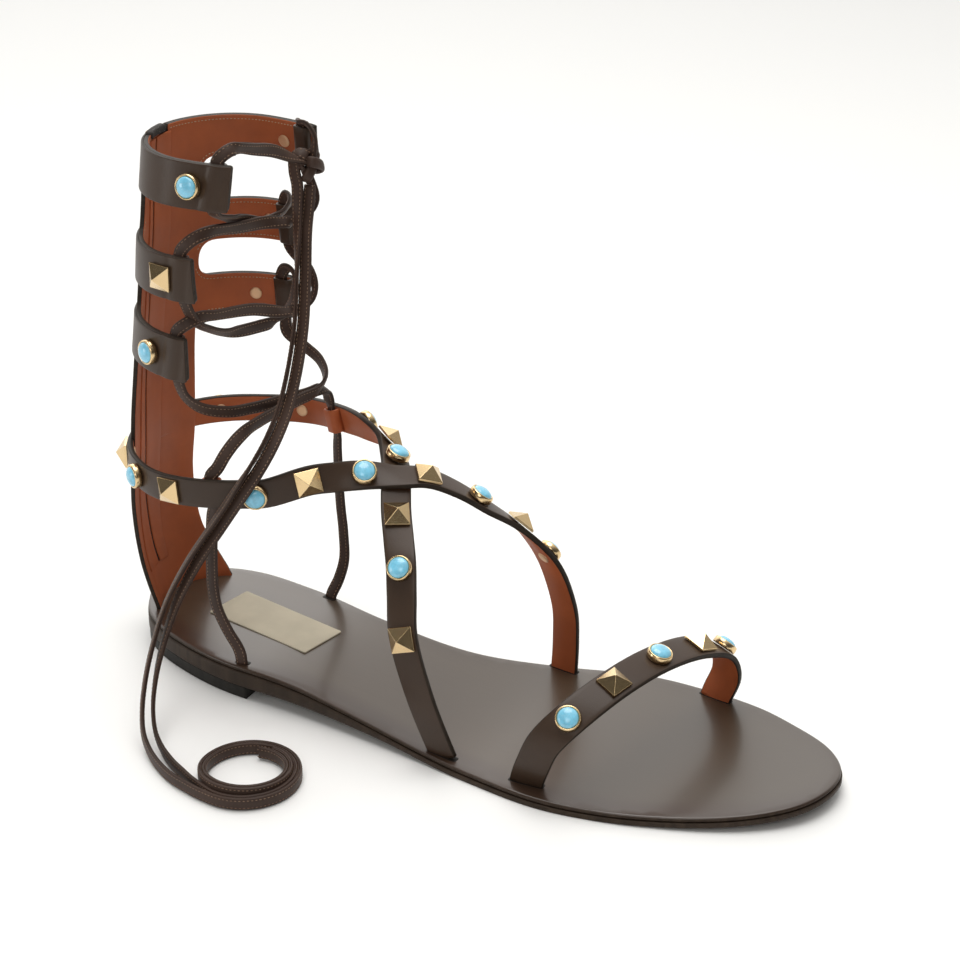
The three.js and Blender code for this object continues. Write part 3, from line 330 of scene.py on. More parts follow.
def smooth_curve(points):
    """A curve that runs through the points, as place and direction for shares from 0 to 1."""
    points = np.asarray(points, float)
    ends = np.vstack([2 * points[0] - points[1], points, 2 * points[-1] - points[-2]])
    count = len(points)

    def at(share):
        place = np.asarray(share, float) * (count - 1)
        index = np.clip(np.floor(place).astype(int), 0, count - 2)
        w = (place - index)[..., None]
        p0, p1, p2, p3 = (ends[index + i] for i in range(4))
        pairs = ((p0, p1), (p1, p2), (p2, p3))
        gaps = [np.sqrt(np.linalg.norm(b - a, axis=-1, keepdims=True)) for a, b in pairs]
        d1 = np.where(gaps[1] < 1e-4, 1, gaps[1])
        d0 = np.where(gaps[0] < 1e-4, d1, gaps[0])
        d2 = np.where(gaps[2] < 1e-4, d1, gaps[2])
        t1 = ((p1 - p0) / d0 - (p2 - p0) / (d0 + d1) + (p2 - p1) / d1) * d1
        t2 = ((p2 - p1) / d1 - (p3 - p1) / (d1 + d2) + (p3 - p2) / d2) * d1
        c2 = 3 * (p2 - p1) - 2 * t1 - t2
        c3 = 2 * (p1 - p2) + t1 + t2
        return p1 + t1 * w + c2 * w ** 2 + c3 * w ** 3, t1 + 2 * c2 * w + 3 * c3 * w ** 2

    return at


DENSE = 6000


def curve_frames(points, outwards, steps=None, pitch=None):
    """Frames at even steps along a smooth curve: place, tangent, outward, across and length so far."""
    path = smooth_curve(points)
    facing = smooth_curve(outwards)
    shares = np.linspace(0, 1, DENSE)
    dense, _ = path(shares)
    run = runs(dense)
    if steps is None:
        steps = max(2, round(run[-1] / pitch))
    lengths = np.linspace(0, 1, steps + 1) * run[-1]
    t = np.interp(lengths, run, shares)
    place, along = path(t)
    tangent = unit(along)
    outward, _ = facing(t)
    outward = unit(outward - np.sum(outward * tangent, axis=1, keepdims=True) * tangent)
    return {
        "point": place, "tangent": tangent, "outward": outward,
        "across": np.cross(tangent, outward), "run": lengths,
    }


def pick(frames, keep):
    return {key: value[keep] for key, value in frames.items()}


def joined(*parts):
    return {key: np.concatenate([part[key] for part in parts]) for key in parts[0]}


def moved(frames, across=0.0, outward=0.0, flip=False):
    """The same frames, off to one side or in depth, and turned to look the other way if asked."""
    shift = frames["across"] * np.asarray(across)[..., None]
    shift = shift + frames["outward"] * np.asarray(outward)[..., None]
    sign = -1 if flip else 1
    turned = {key: sign * frames[key] for key in ("outward", "across")}
    return dict(frames, point=frames["point"] + shift, **turned)


# Forms of the last: sole and shaft


def sole_angle(share):
    return np.arccos(1 - 2 * clamp01(share))


SOLE_AT = table_curve(
    sole_angle(np.array([row[0] for row in SOLE_OUTLINE])), [row[1:] for row in SOLE_OUTLINE]
)


def share_of(x):
    return (np.asarray(x, float) + HEEL_REACH) / LENGTH


def footbed_top(x):
    share = share_of(x)
    arch = smoothstep(share, HEEL_BREAST, ARCH_END)
    spring = np.maximum(0, (share - SPRING_START) / (1 - SPRING_START))
    return lerp(SEAT_HEIGHT, SOLE_THICKNESS, arch) + TOE_SPRING * spring ** 2


def sole_bottom(x):
    taper = smoothstep(share_of(x), HEEL_BREAST, EDGE_TAPER_END)
    heel_edge = SEAT_HEIGHT - HEEL_LIFT - CLEARANCE
    return footbed_top(x) - lerp(heel_edge, SOLE_THICKNESS, taper)


def sole_loop(stop=1.0, steps=150):
    """The sole's outline as a loop in plan, counterclockwise, from the heel to a share of its length."""
    angles = np.linspace(TIP_ANGLE, min(sole_angle(stop), math.pi - TIP_ANGLE), steps + 1)
    shares = (1 - np.cos(angles)) / 2
    edges = SOLE_AT(angles) * BALL_WIDTH
    x = shares * LENGTH - HEEL_REACH
    lateral = np.column_stack([x, edges[:, 1]])
    medial = np.column_stack([x, edges[:, 0]])
    return np.vstack([lateral, medial[::-1]])


SECTION_AT = table_curve([row[0] for row in SHAFT_SECTIONS], [row[1:] for row in SHAFT_SECTIONS])


def shaft_section(z):
    row = SECTION_AT((np.asarray(z) - SEAT_HEIGHT) / SHAFT_HEIGHT)
    back, middle, front, half, lateral, medial = np.moveaxis(row, -1, 0)
    return {
        "middle": middle * LENGTH, "back": (middle - back) * LENGTH, "front": front * LENGTH,
        "half": half * ANKLE_WIDTH, "lateral": lateral * DEGREE, "medial": medial * DEGREE,
    }


def shaft_normal(angle, z):
    section = shaft_section(z)
    reach = np.where(np.cos(angle) > 0, section["back"], section["front"])
    parts = np.broadcast_arrays(-np.cos(angle) / reach, np.sin(angle) / section["half"], 0.0)
    normal = np.stack(parts, axis=-1)
    return unit(normal)


def shaft_point(angle, z, out=0.0):
    """A point on the shaft: angle round from the zip, height, and distance out."""
    section = shaft_section(z)
    reach = np.where(np.cos(angle) > 0, section["back"], section["front"])
    base = np.stack(
        np.broadcast_arrays(
            section["middle"] - reach * np.cos(angle), section["half"] * np.sin(angle), np.asarray(z, float),
        ),
        axis=-1,
    )
    return base + shaft_normal(angle, z) * np.asarray(out)[..., None]


RING_ANGLES = np.linspace(-150, 150, 301) * DEGREE
RING_HEIGHTS = np.linspace(0, SEAT_HEIGHT + SHAFT_HEIGHT, 61)


def ring_runs():
    """How far round the shaft each of the ring angles is from the zip, at each of the heights."""
    rows = []
    for z in RING_HEIGHTS:
        points = shaft_point(RING_ANGLES, z)
        run = np.concatenate([[0], np.cumsum(np.linalg.norm(np.diff(points, axis=0), axis=1))])
        rows.append(run - np.interp(0, RING_ANGLES, run))
    return rows


RING_RUNS = ring_runs()


def angle_at(s, z):
    """The angle round from the zip that lies a length s round, at a height."""
    s, z = np.broadcast_arrays(np.asarray(s, float), np.asarray(z, float))
    level = np.clip(z / RING_HEIGHTS[-1] * (len(RING_HEIGHTS) - 1), 0, len(RING_HEIGHTS) - 1.001)
    low = level.astype(int)
    out = np.empty(s.shape)
    for i in np.ndindex(s.shape):
        a = np.interp(s[i], RING_RUNS[low[i]], RING_ANGLES)
        b = np.interp(s[i], RING_RUNS[low[i] + 1], RING_ANGLES)
        out[i] = lerp(a, b, level[i] - low[i])
    return out


def run_at(angle, z):
    """The length round from the zip of an angle, at a height."""
    level = min(z / RING_HEIGHTS[-1] * (len(RING_HEIGHTS) - 1), len(RING_HEIGHTS) - 1.001)
    low = int(level)
    a = np.interp(angle, RING_ANGLES, RING_RUNS[low])
    b = np.interp(angle, RING_ANGLES, RING_RUNS[low + 1])
    return lerp(a, b, level - low)


def arm_height(arm):
    return SEAT_HEIGHT + arm[1] * SHAFT_HEIGHT


def arc_angle(length, angle, z):
    section = shaft_section(z)
    reach = np.where(np.cos(angle) > 0, section["back"], section["front"])
    return length / np.hypot(reach * np.sin(angle), section["half"] * np.cos(angle))


def tunnel_angle(arm):
    end = arm[2] * DEGREE
    return end - arc_angle(TUNNEL_LENGTH / 2 + TUNNEL_WALL, end, arm_height(arm))


# Rows of the straps and laces


def strap_rows(table):
    """Middle of the outer face and the way that it looks, for each row of a strap's table."""
    points, outwards = [], []
    for along, across, height, turn, rise in table:
        x = along * LENGTH - HEEL_REACH
        points.append((x, across * BALL_WIDTH, footbed_top(x) + height * INSTEP_HEIGHT))
        level = math.cos(rise * DEGREE)
        turned = turn * DEGREE
        outwards.append((level * math.cos(turned), level * math.sin(turned), math.sin(rise * DEGREE)))
    return np.array(points), np.array(outwards)


def ankle_rows(side, leaves):
    angles = np.arange(FIRST_ROW, leaves + 1, ROW_STEP)
    climb = ANKLE_STRAP_CLIMB * smoothstep(angles, CLIMB_START, CLIMB_END)
    heights = SEAT_HEIGHT + ANKLE_STRAP_HEIGHT + climb
    turned = side * angles * DEGREE
    return shaft_point(turned, heights, STRAP_PROUD), shaft_normal(turned, heights)


def whole_rows(side, leaves, table):
    ankle, instep = ankle_rows(side, leaves), strap_rows(table)
    return np.vstack([ankle[0], instep[0]]), np.vstack([ankle[1], instep[1]])


LATERAL_ROWS = whole_rows(-1, LATERAL_LEAVES, LATERAL_STRAP)
MEDIAL_ROWS = whole_rows(1, MEDIAL_LEAVES, MEDIAL_STRAP)
TOE_ROWS = strap_rows(TOE_STRAP)
STUD_STEPS = 1000


def keeper_frame(rows, share):
    frames = curve_frames(*rows, steps=STUD_STEPS)
    return pick(frames, round(share * STUD_STEPS))


def lace_rows(route):
    """Rows of a lace's free stretch, which lies flat round the leg."""
    points = np.array(route) * MM
    section = shaft_section(points[:, 2])
    away = section["middle"] - points[:, 0]
    reach = np.where(away > 0, section["back"], section["front"])
    angles = np.arctan2(points[:, 1] / section["half"], away / reach)
    return points, shaft_normal(angles, points[:, 2])


# A lace draws the real loop tight, so it is shallower than the solid's tunnel
ARM_LOOP_DEPTH = 1.9 * MM
ARM_LACE_OUT = -2.35 * MM
LATERAL_SETBACK = 1.8 * MM
# Straight run of a lace past each end of a loop
TUNNEL_EXIT = 0.6 * MM


def loop_angle(arm, side):
    """Where a lace loop sits: the lateral ones are drawn back from the arm's end by the lace."""
    back = LATERAL_SETBACK if side < 0 else 0
    angle = tunnel_angle(arm)
    return side * (angle - arc_angle(back, angle, arm_height(arm)))


def tunnel_rows(arm, side, heights):
    angle = loop_angle(arm, side)
    z = arm_height(arm) + np.array(heights)
    return shaft_point(angle, z, ARM_LACE_OUT), shaft_normal(angle, z)


def through_tunnel(arm, side):
    reach = ARM_WIDTH / 2 + TUNNEL_EXIT
    return tunnel_rows(arm, side, [-reach, -ARM_WIDTH / 4, 0, ARM_WIDTH / 4, reach])


def through_keeper(keeper):
    up = keeper["across"] * np.sign(keeper["across"][2]) * STRAP_WIDTH
    middle = keeper["point"] - keeper["outward"] * (STRAP_WALL + TUNNEL_DEPTH / 2)
    points = np.array([middle - up / 2, middle, middle + up / 2])
    return points, np.repeat(keeper["outward"][None], 3, axis=0)


# Meshes


def new_object(name, mesh):
    piece = bpy.data.objects.new(name, mesh)
    bpy.context.scene.collection.objects.link(piece)
    return piece


def make_mesh(name, points, faces, finishes, zones=None, uvs=None):
    """A mesh from points and faces. zones says which finish each face has, uvs a pair for each corner."""
    mesh = bpy.data.meshes.new(name)
    mesh.from_pydata([tuple(map(float, p)) for p in points], [], faces)
    for finish in finishes:
        mesh.materials.append(finish)
    if zones is not None:
        mesh.polygons.foreach_set("material_index", zones)
    if uvs is not None:
        layer = mesh.uv_layers.new(name="UVMap")
        layer.data.foreach_set("uv", np.asarray(uvs, np.float32).ravel())
    mesh.polygons.foreach_set("use_smooth", [True] * len(mesh.polygons))
    mesh.update()
    return mesh


def volume(points, faces):
    total = 0.0
    points = np.asarray(points)
    centre = points.mean(axis=0)
    for face in faces:
        a = points[face[0]] - centre
        for i in range(1, len(face) - 1):
            total += np.dot(a, np.cross(points[face[i]] - centre, points[face[i + 1]] - centre))
    return total


def sweep(name, frames, profile, finishes, zones=None):
    """A closed band: the profile's (across, outward) loop carried along the frames, with both ends shut."""
    profile = np.asarray(profile)
    count, steps = len(profile), len(frames["point"])
    rings = (
        frames["point"][:, None]
        + frames["across"][:, None] * profile[None, :, :1]
        + frames["outward"][:, None] * profile[None, :, 1:]
    )
    round_runs = runs(np.vstack([profile, profile[:1]]))
    faces, uvs, face_zones = [], [], []
    for row in range(steps - 1):
        u0, u1 = frames["run"][row], frames["run"][row + 1]
        for i in range(count):
            j = (i + 1) % count
            faces.append((row * count + i, row * count + j, (row + 1) * count + j, (row + 1) * count + i))
            v0, v1 = round_runs[i], round_runs[i + 1]
            uvs += [(u0, v0), (u0, v1), (u1, v1), (u1, v0)]
            face_zones.append(zones[i] if zones else 0)
    points = list(rings.reshape(-1, 3))
    for row, order in ((0, 1), (steps - 1, -1)):
        points.append(rings[row].mean(axis=0))
        for i in range(count):
            j = (i + 1) % count
            pair = (row * count + j, row * count + i)[::order]
            faces.append((len(points) - 1, *pair))
            uvs += [(frames["run"][row], 0)] * 3
            face_zones.append(max(zones) if zones else 0)
    if volume(points, faces) < 0:
        faces, uvs = turn_faces(faces, uvs)
    return make_mesh(name, points, faces, finishes, face_zones, uvs)


def turn_faces(faces, uvs):
    turned, corners, start = [], [], 0
    for face in faces:
        turned.append(tuple(reversed(face)))
        corners += list(reversed(uvs[start:start + len(face)]))
        start += len(face)
    return turned, corners


def inset_loop(loop, inset):
    """A counterclockwise loop in plan, drawn in by a distance."""
    ahead, behind = np.roll(loop, -1, axis=0) - loop, loop - np.roll(loop, 1, axis=0)
    normals = [unit(np.column_stack([-edge[:, 1], edge[:, 0]])) for edge in (ahead, behind)]
    middle = unit(normals[0] + normals[1])
    stretch = np.maximum(np.sum(middle * normals[0], axis=1, keepdims=True), 0.5)
    return loop + middle * inset / stretch


def loop_side(points, loop):
    """Whether each point is inside the loop, and how far it is from it."""
    starts, stops = loop, np.roll(loop, -1, axis=0)
    edge = stops - starts
    inside = np.zeros(len(points), bool)
    nearest = np.full(len(points), np.inf)
    for a, b, e in zip(starts, stops, edge):
        share = clamp01(((points - a) @ e) / max(e @ e, 1e-18))
        nearest = np.minimum(nearest, np.linalg.norm(points - (a + share[:, None] * e), axis=1))
        crosses = (a[1] > points[:, 1]) != (b[1] > points[:, 1])
        if e[1] != 0:
            inside ^= crosses & (points[:, 0] < a[0] + (points[:, 1] - a[1]) / e[1] * e[0])
    return inside, nearest


def fill_loop(loop, spacing):
    """Triangles that fill a loop, with a grid of points inside it."""
    low, high = loop.min(axis=0), loop.max(axis=0)
    columns, lines = (np.arange(low[k], high[k], spacing) for k in (0, 1))
    grid = np.stack(np.meshgrid(columns, lines), -1).reshape(-1, 2)
    inside, nearest = loop_side(grid, loop)
    points = np.vstack([loop, grid[inside & (nearest > spacing * 0.45)]])
    count = len(loop)
    edges = [(i, (i + 1) % count) for i in range(count)]
    coords = [Vector(p) for p in points / MM]
    result = delaunay_2d_cdt(coords, edges, [], 1, 1e-6)
    source = [ids[0] for ids in result[3]]
    triangles = [tuple(source[i] for i in face) for face in result[2]]
    return points, triangles


def plate(name, loop, place, rings, spacing, finishes, zones=None):
    """A closed plate with rounded edges. rings are (inset, depth) pairs from the face to the back,
    place turns plan and depth into points, and zones has a finish for the face, each step and the back."""
    zones = zones or [0] * (len(rings) + 1)
    loops = [inset_loop(loop, inset) for inset, _ in rings]
    count = len(loop)
    points, plan, faces, face_zones = [], [], [], []
    for flat, (_, depth) in zip(loops, rings):
        points.append(place(flat[:, 0], flat[:, 1], depth))
        plan.append(flat)
    for step in range(len(rings) - 1):
        for i in range(count):
            j = (i + 1) % count
            base = step * count
            faces.append((base + i, base + count + i, base + count + j, base + j))
            face_zones.append(zones[1 + step])
    total = count * len(rings)
    for ring, order, zone in ((0, 1, zones[0]), (len(rings) - 1, -1, zones[-1])):
        filled, triangles = fill_loop(loops[ring], spacing)
        extra = filled[count:]
        points.append(place(extra[:, 0], extra[:, 1], rings[ring][1]))
        plan.append(extra)
        base = total - count
        total += len(extra)
        for face in triangles:
            faces.append(tuple((ring * count + i) if i < count else (base + i) for i in face)[::order])
            face_zones.append(zone)
    points, plan = np.vstack(points), np.vstack(plan)
    uvs = [tuple(plan[i]) for face in faces for i in face]
    if volume(points, faces) < 0:
        faces, uvs = turn_faces(faces, uvs)
    return make_mesh(name, points, faces, finishes, face_zones, uvs)


def round_rings(thickness, radius, steps=3):
    """Rings of a plate's rounded edge: quarter rounds at the face and at the back."""
    angles = np.linspace(0, math.pi / 2, steps + 1)
    top = [(radius * (1 - math.sin(a)), radius * (1 - math.cos(a))) for a in angles]
    bottom = [(inset, thickness - depth) for inset, depth in reversed(top)]
    return top + bottom


def edge_zones(rings, face, edge, back):
    """Finishes for a plate: the rounds belong to the face and the back, the wall between to the edge."""
    half = (len(rings) - 1) // 2
    return [face] * half + [edge] * (len(rings) + 1 - 2 * half) + [back] * half


def lathe(name, profile, segments, finish):
    """A turned shape from (radius, height) pairs that start and end on the axis."""
    points, faces = [(0, 0, profile[0][1])], []
    rings = profile[1:-1]
    for radius, height in rings:
        for k in range(segments):
            turn = 2 * math.pi * k / segments
            points.append((radius * math.cos(turn), radius * math.sin(turn), height))
    points.append((0, 0, profile[-1][1]))
    for k in range(segments):
        j = (k + 1) % segments
        faces.append((0, 1 + j, 1 + k))
        for row in range(len(rings) - 1):
            base = 1 + row * segments
            faces.append((base + k, base + j, base + segments + j, base + segments + k))
        base = 1 + (len(rings) - 1) * segments
        faces.append((base + k, base + j, len(points) - 1))
    if volume(points, faces) < 0:
        faces = [tuple(reversed(face)) for face in faces]
    return make_mesh(name, points, faces, [finish])


def dress(piece, slot, *nodes):
    """Puts a finished piece on the frame: its body and what it stands for; the slot is not used."""
    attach(piece, BODY)
    if nodes:
        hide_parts(*nodes)
    return piece


def merge(name, meshes):
    """One mesh from several, with their finishes kept."""
    finishes, points, faces, zones, uvs = [], [], [], [], []
    for mesh in meshes:
        base = len(points)
        for finish in mesh.materials:
            if finish not in finishes:
                finishes.append(finish)
        points += [tuple(v.co) for v in mesh.vertices]
        layer = mesh.uv_layers.active
        for face in mesh.polygons:
            faces.append(tuple(base + i for i in face.vertices))
            zones.append(finishes.index(mesh.materials[face.material_index]))
            uvs += [tuple(layer.data[i].uv) if layer else (0, 0) for i in face.loop_indices]
        bpy.data.meshes.remove(mesh)
    return make_mesh(name, points, faces, finishes, zones, uvs)


# Node trees


class Socket:
    """One output of a node tree. Arithmetic on it adds Math nodes."""

    def __init__(self, nodes, socket):
        self.nodes = nodes
        self.socket = socket

    def maths(self, operation, *values):
        inputs = dict(enumerate(values))
        return self.nodes.add("ShaderNodeMath", {"operation": operation}, inputs)

    def __add__(self, other):
        return self.maths("ADD", self, other)

    def __sub__(self, other):
        return self.maths("SUBTRACT", self, other)

    def __rsub__(self, other):
        return self.maths("SUBTRACT", other, self)

    def __mul__(self, other):
        return self.maths("MULTIPLY", self, other)

    __radd__ = __add__
    __rmul__ = __mul__

    def between(self, low, high):
        """0 below the low value, 1 above the high one and smooth between them."""
        settings = {"interpolation_type": "SMOOTHSTEP"}
        inputs = {"Value": self, "From Min": low, "From Max": high}
        return self.nodes.add("ShaderNodeMapRange", settings, inputs)


class Nodes:
    """Adds nodes to a tree: a type, its settings, and the values or links of its sockets."""

    def __init__(self, tree):
        self.tree = tree

    def add(self, kind, settings, inputs, output=0):
        node = self.tree.nodes.new(kind)
        for key, value in settings.items():
            if key == "stops":
                self.set_stops(node.color_ramp, value)
            else:
                setattr(node, key, value)
        for key, value in inputs.items():
            socket = node.inputs[key]
            if isinstance(value, Socket):
                self.tree.links.new(value.socket, socket)
            else:
                socket.default_value = value
        return Socket(self, node.outputs[output]) if len(node.outputs) else node

    @staticmethod
    def set_stops(ramp, stops):
        while len(ramp.elements) < len(stops):
            ramp.elements.new(0.5)
        for element, (place, colour) in zip(ramp.elements, stops):
            element.position = place
            element.color = (*colour, 1)

    def mix(self, share, first, second):
        """A colour between two others."""
        first, second = ((*c, 1) if isinstance(c, tuple) else c for c in (first, second))
        return self.add("ShaderNodeMix", {"data_type": "RGBA"}, {0: share, 6: first, 7: second}, 2)

    def noise(self, coordinates, scale, detail=3.0, roughness=0.5):
        inputs = {"Vector": coordinates, "Scale": scale, "Detail": detail, "Roughness": roughness}
        return self.add("ShaderNodeTexNoise", {}, inputs)

    def cells(self, coordinates, scale, feature="F1"):
        inputs = {"Vector": coordinates, "Scale": scale}
        return self.add("ShaderNodeTexVoronoi", {"feature": feature}, inputs)

    def stretched(self, coordinates, scale):
        return self.add("ShaderNodeMapping", {}, {"Vector": coordinates, "Scale": scale})

    def split(self, coordinates):
        node = self.tree.nodes.new("ShaderNodeSeparateXYZ")
        self.tree.links.new(coordinates.socket, node.inputs[0])
        return [Socket(self, out) for out in node.outputs]

    def bump(self, height, distance, strength=1.0):
        return self.add("ShaderNodeBump", {}, {"Height": height, "Distance": distance, "Strength": strength})


def start_material(name):
    """A new material: its nodes, object coordinates and UV coordinates."""
    material = bpy.data.materials.new(name)
    material.use_nodes = True
    material.node_tree.nodes.clear()
    nodes = Nodes(material.node_tree)
    places = nodes.add("ShaderNodeTexCoord", {}, {}, "Object")
    strip = nodes.add("ShaderNodeTexCoord", {}, {}, "UV")
    return material, nodes, places, strip


def finish_material(material, nodes, **inputs):
    """Ends a material in one Principled surface. Names of inputs have low lines for their spaces."""
    named = {key.replace("_", " ").title().replace("Ior", "IOR"): value for key, value in inputs.items()}
    shader = nodes.add("ShaderNodeBsdfPrincipled", {}, named)
    nodes.add("ShaderNodeOutputMaterial", {}, {"Surface": shader})
    return material


def shade(colour, amount):
    """A colour made darker or lighter by a factor."""
    return tuple(min(1.0, channel * amount) for channel in colour)


def leather(name, colour, grain=1.0, gloss=0.45, mottle=0.14, crease=0.0, coat=0.0):
    """Smooth leather: pores, soft mottling and a faint long grain along the strap."""
    material, nodes, places, strip = start_material(name)
    patches = nodes.noise(places, 45.0, 4.0, 0.6).between(0.3, 0.7)
    fibre = nodes.noise(nodes.stretched(strip, (140.0, 900.0, 1.0)), 1.0, 3.0)
    pores = nodes.cells(places, 2100.0)
    fine = nodes.noise(places, 5200.0, 2.0)
    tone = nodes.mix(patches, shade(colour, 1 - mottle), shade(colour, 1 + mottle))
    tone = nodes.mix(pores.between(0.0, 0.35) * 0.5 + 0.5, shade(colour, 0.72), tone)
    height = pores * 0.6 + fine * 0.35 + fibre * (0.35 + crease)
    return finish_material(
        material, nodes,
        base_color=tone,
        roughness=(gloss - 0.06) + patches * 0.07 + fine * 0.06,
        specular_ior_level=0.27,
        coat_weight=coat,
        coat_roughness=0.22,
        normal=nodes.bump(height, 0.045 * MM * grain, 0.6),
    )


def lining_leather(name, colour):
    """Cognac lining: warm, finely mottled and a little darker where it was handled."""
    material, nodes, places, _ = start_material(name)
    patches = nodes.noise(places, 38.0, 5.0, 0.62).between(0.28, 0.72)
    specks = nodes.cells(places, 620.0).between(0.02, 0.16)
    pores = nodes.cells(places, 2600.0)
    fine = nodes.noise(places, 4800.0, 2.0)
    tone = nodes.mix(patches, shade(colour, 0.84), shade(colour, 1.14))
    tone = nodes.mix(specks * 0.3 + 0.7, shade(colour, 0.6), tone)
    return finish_material(
        material, nodes,
        base_color=tone,
        roughness=0.5 + patches * 0.1 + fine * 0.06,
        specular_ior_level=0.35,
        normal=nodes.bump(pores * 0.7 + fine * 0.4, 0.04 * MM, 0.55),
    )


def footbed_leather(colours):
    """Burnished footbed: taupe with brown burnish at its rim, laid on heavier along the near (lateral) rim as
    painted shade, and fine polishing strokes.
    """
    material, nodes, places, _ = start_material("footbed_burnished")
    x, y, _ = nodes.split(places)
    edge = nodes.add("ShaderNodeAttribute", {"attribute_name": "rim"}, {}, "Fac")
    cloud = nodes.noise(places, 22.0, 4.0, 0.6)
    stroke = nodes.noise(nodes.stretched(places, (60.0, 900.0, 200.0)), 1.0, 4.0, 0.6)
    fine = nodes.noise(places, 4200.0, 2.0)
    pores = nodes.cells(places, 1900.0)
    # Painted shade: the near (lateral) side's rim is darkened more than the rest of the burnished rim.
    near_side_shade = 1 - y.between(-0.025, 0.012)
    rim = (edge * (near_side_shade * 0.6 + 0.55) + (cloud - 0.5) * 0.35).between(0.12, 0.85)
    forefoot = x.between(0.06, 0.19)
    tone = nodes.mix(forefoot, tuple(colours.footbed), shade(tuple(colours.footbed), 0.72))
    tone = nodes.mix(rim * 0.85, tone, tuple(colours.burnish))
    tone = nodes.mix(cloud.between(0.35, 0.75) * 0.16, tone, shade(tuple(colours.footbed), 1.2))
    tone = nodes.mix(stroke.between(0.45, 0.8) * 0.1, tone, shade(tuple(colours.burnish), 0.9))
    return finish_material(
        material, nodes,
        base_color=tone,
        roughness=0.27 + cloud * 0.08 + fine * 0.04,
        coat_weight=0.35,
        coat_roughness=0.16,
        normal=nodes.bump(pores * 0.4 + fine * 0.35 + stroke * 0.4, 0.02 * MM, 0.5),
    )


def metal(name, colour, gloss, scratch=1.0):
    """Plated metal with fine polishing scratches and a few dull spots."""
    material, nodes, places, _ = start_material(name)
    scratches = nodes.noise(nodes.stretched(places, (5000.0, 900.0, 2200.0)), 1.0, 2.0)
    dull = nodes.noise(places, 380.0, 3.0).between(0.45, 0.8)
    tone = nodes.mix(dull * 0.2, colour, shade(colour, 0.82))
    return finish_material(
        material, nodes,
        base_color=tone,
        metallic=1.0,
        roughness=gloss + dull * 0.04 + scratches * 0.04,
        normal=nodes.bump(scratches, 0.0015 * MM * scratch, 0.4),
    )


def stone_finish(colours):
    """Polished turquoise: cloudy blue with faint pale veins under a clear gloss."""
    material, nodes, places, _ = start_material("stone_turquoise")
    cloud = nodes.noise(places, 420.0, 4.0, 0.6).between(0.3, 0.7)
    vein = nodes.cells(places, 520.0, "DISTANCE_TO_EDGE").between(0.0, 0.05)
    colour = tuple(colours.stone)
    tone = nodes.mix(cloud, shade(colour, 0.86), shade(colour, 1.12))
    tone = nodes.mix(vein * 0.12 + 0.88, (0.75, 0.88, 0.93), tone)
    return finish_material(
        material, nodes,
        base_color=tone,
        roughness=0.2 + cloud * 0.06,
        coat_weight=0.8,
        coat_roughness=0.06,
        normal=nodes.bump(cloud, 0.01 * MM, 0.3),
    )


def painted_edge(name, colour):
    """Edge paint: satin, slightly wavy, over the cut edge of the leather."""
    material, nodes, places, strip = start_material(name)
    wave = nodes.noise(nodes.stretched(strip, (160.0, 1400.0, 1.0)), 1.0, 3.0)
    grit = nodes.noise(places, 3000.0, 2.0)
    tone = nodes.mix(wave.between(0.3, 0.7), shade(colour, 0.8), shade(colour, 1.35))
    return finish_material(
        material, nodes,
        base_color=tone,
        roughness=0.45 + grit * 0.12,
        specular_ior_level=0.18,
        normal=nodes.bump(wave + grit * 0.4, 0.03 * MM, 0.5),
    )


def thread_finish(name, colour):
    """Twisted sewing thread."""
    material, nodes, places, _ = start_material(name)
    twist = nodes.noise(places, 3800.0, 2.0)
    tone = nodes.mix(twist.between(0.3, 0.7), shade(colour, 0.75), shade(colour, 1.1))
    relief = nodes.bump(twist, 0.03 * MM, 0.6)
    return finish_material(material, nodes, base_color=tone, roughness=0.75, normal=relief)


def tape_finish(colours):
    """Zip tape: dark twill with a few pale flecks that are painted glints."""
    material, nodes, places, _ = start_material("zip_tape_twill")
    twill = {"Vector": places, "Scale": 1500.0, "Distortion": 0.6}
    weave = nodes.add("ShaderNodeTexWave", {"bands_direction": "DIAGONAL"}, twill)
    # Pale grey flecks: painted glints, as from the zip's metal teeth.
    painted_glints = nodes.cells(places, 1300.0).between(0.05, 0.16)
    tone = nodes.mix(weave, shade(tuple(colours.zip_tape), 0.6), shade(tuple(colours.zip_tape), 1.5))
    tone = nodes.mix(painted_glints, (0.42, 0.4, 0.38), tone)
    relief = nodes.bump(weave, 0.06 * MM, 0.8)
    return finish_material(material, nodes, base_color=tone, roughness=0.8, normal=relief)


def label_finish(colours):
    """Bare cream label: soft printed cloth with a slightly browned rim."""
    material, nodes, places, strip = start_material("label_cream")
    cloth = nodes.noise(nodes.stretched(strip, (2200.0, 700.0, 1.0)), 1.0, 3.0)
    cloud = nodes.noise(places, 90.0, 3.0).between(0.3, 0.7)
    edge = nodes.add("ShaderNodeAttribute", {"attribute_name": "rim"}, {}, "Fac")
    tone = nodes.mix(cloud, shade(tuple(colours.label), 0.93), shade(tuple(colours.label), 1.05))
    tone = nodes.mix(edge.between(0.55, 1.0) * 0.35, tone, shade(tuple(colours.label), 0.7))
    relief = nodes.bump(cloth, 0.05 * MM, 0.6)
    return finish_material(material, nodes, base_color=tone, roughness=0.72 + cloth * 0.1, normal=relief)


def floor_finish(colours):
    """Plain pale studio floor."""
    material, nodes, places, _ = start_material("studio_floor")
    soft = nodes.noise(places, 3.0, 2.0)
    tone = nodes.mix(soft, shade(tuple(colours.floor), 0.99), tuple(colours.floor))
    return finish_material(material, nodes, base_color=tone, roughness=0.6)


FINISHES = {}


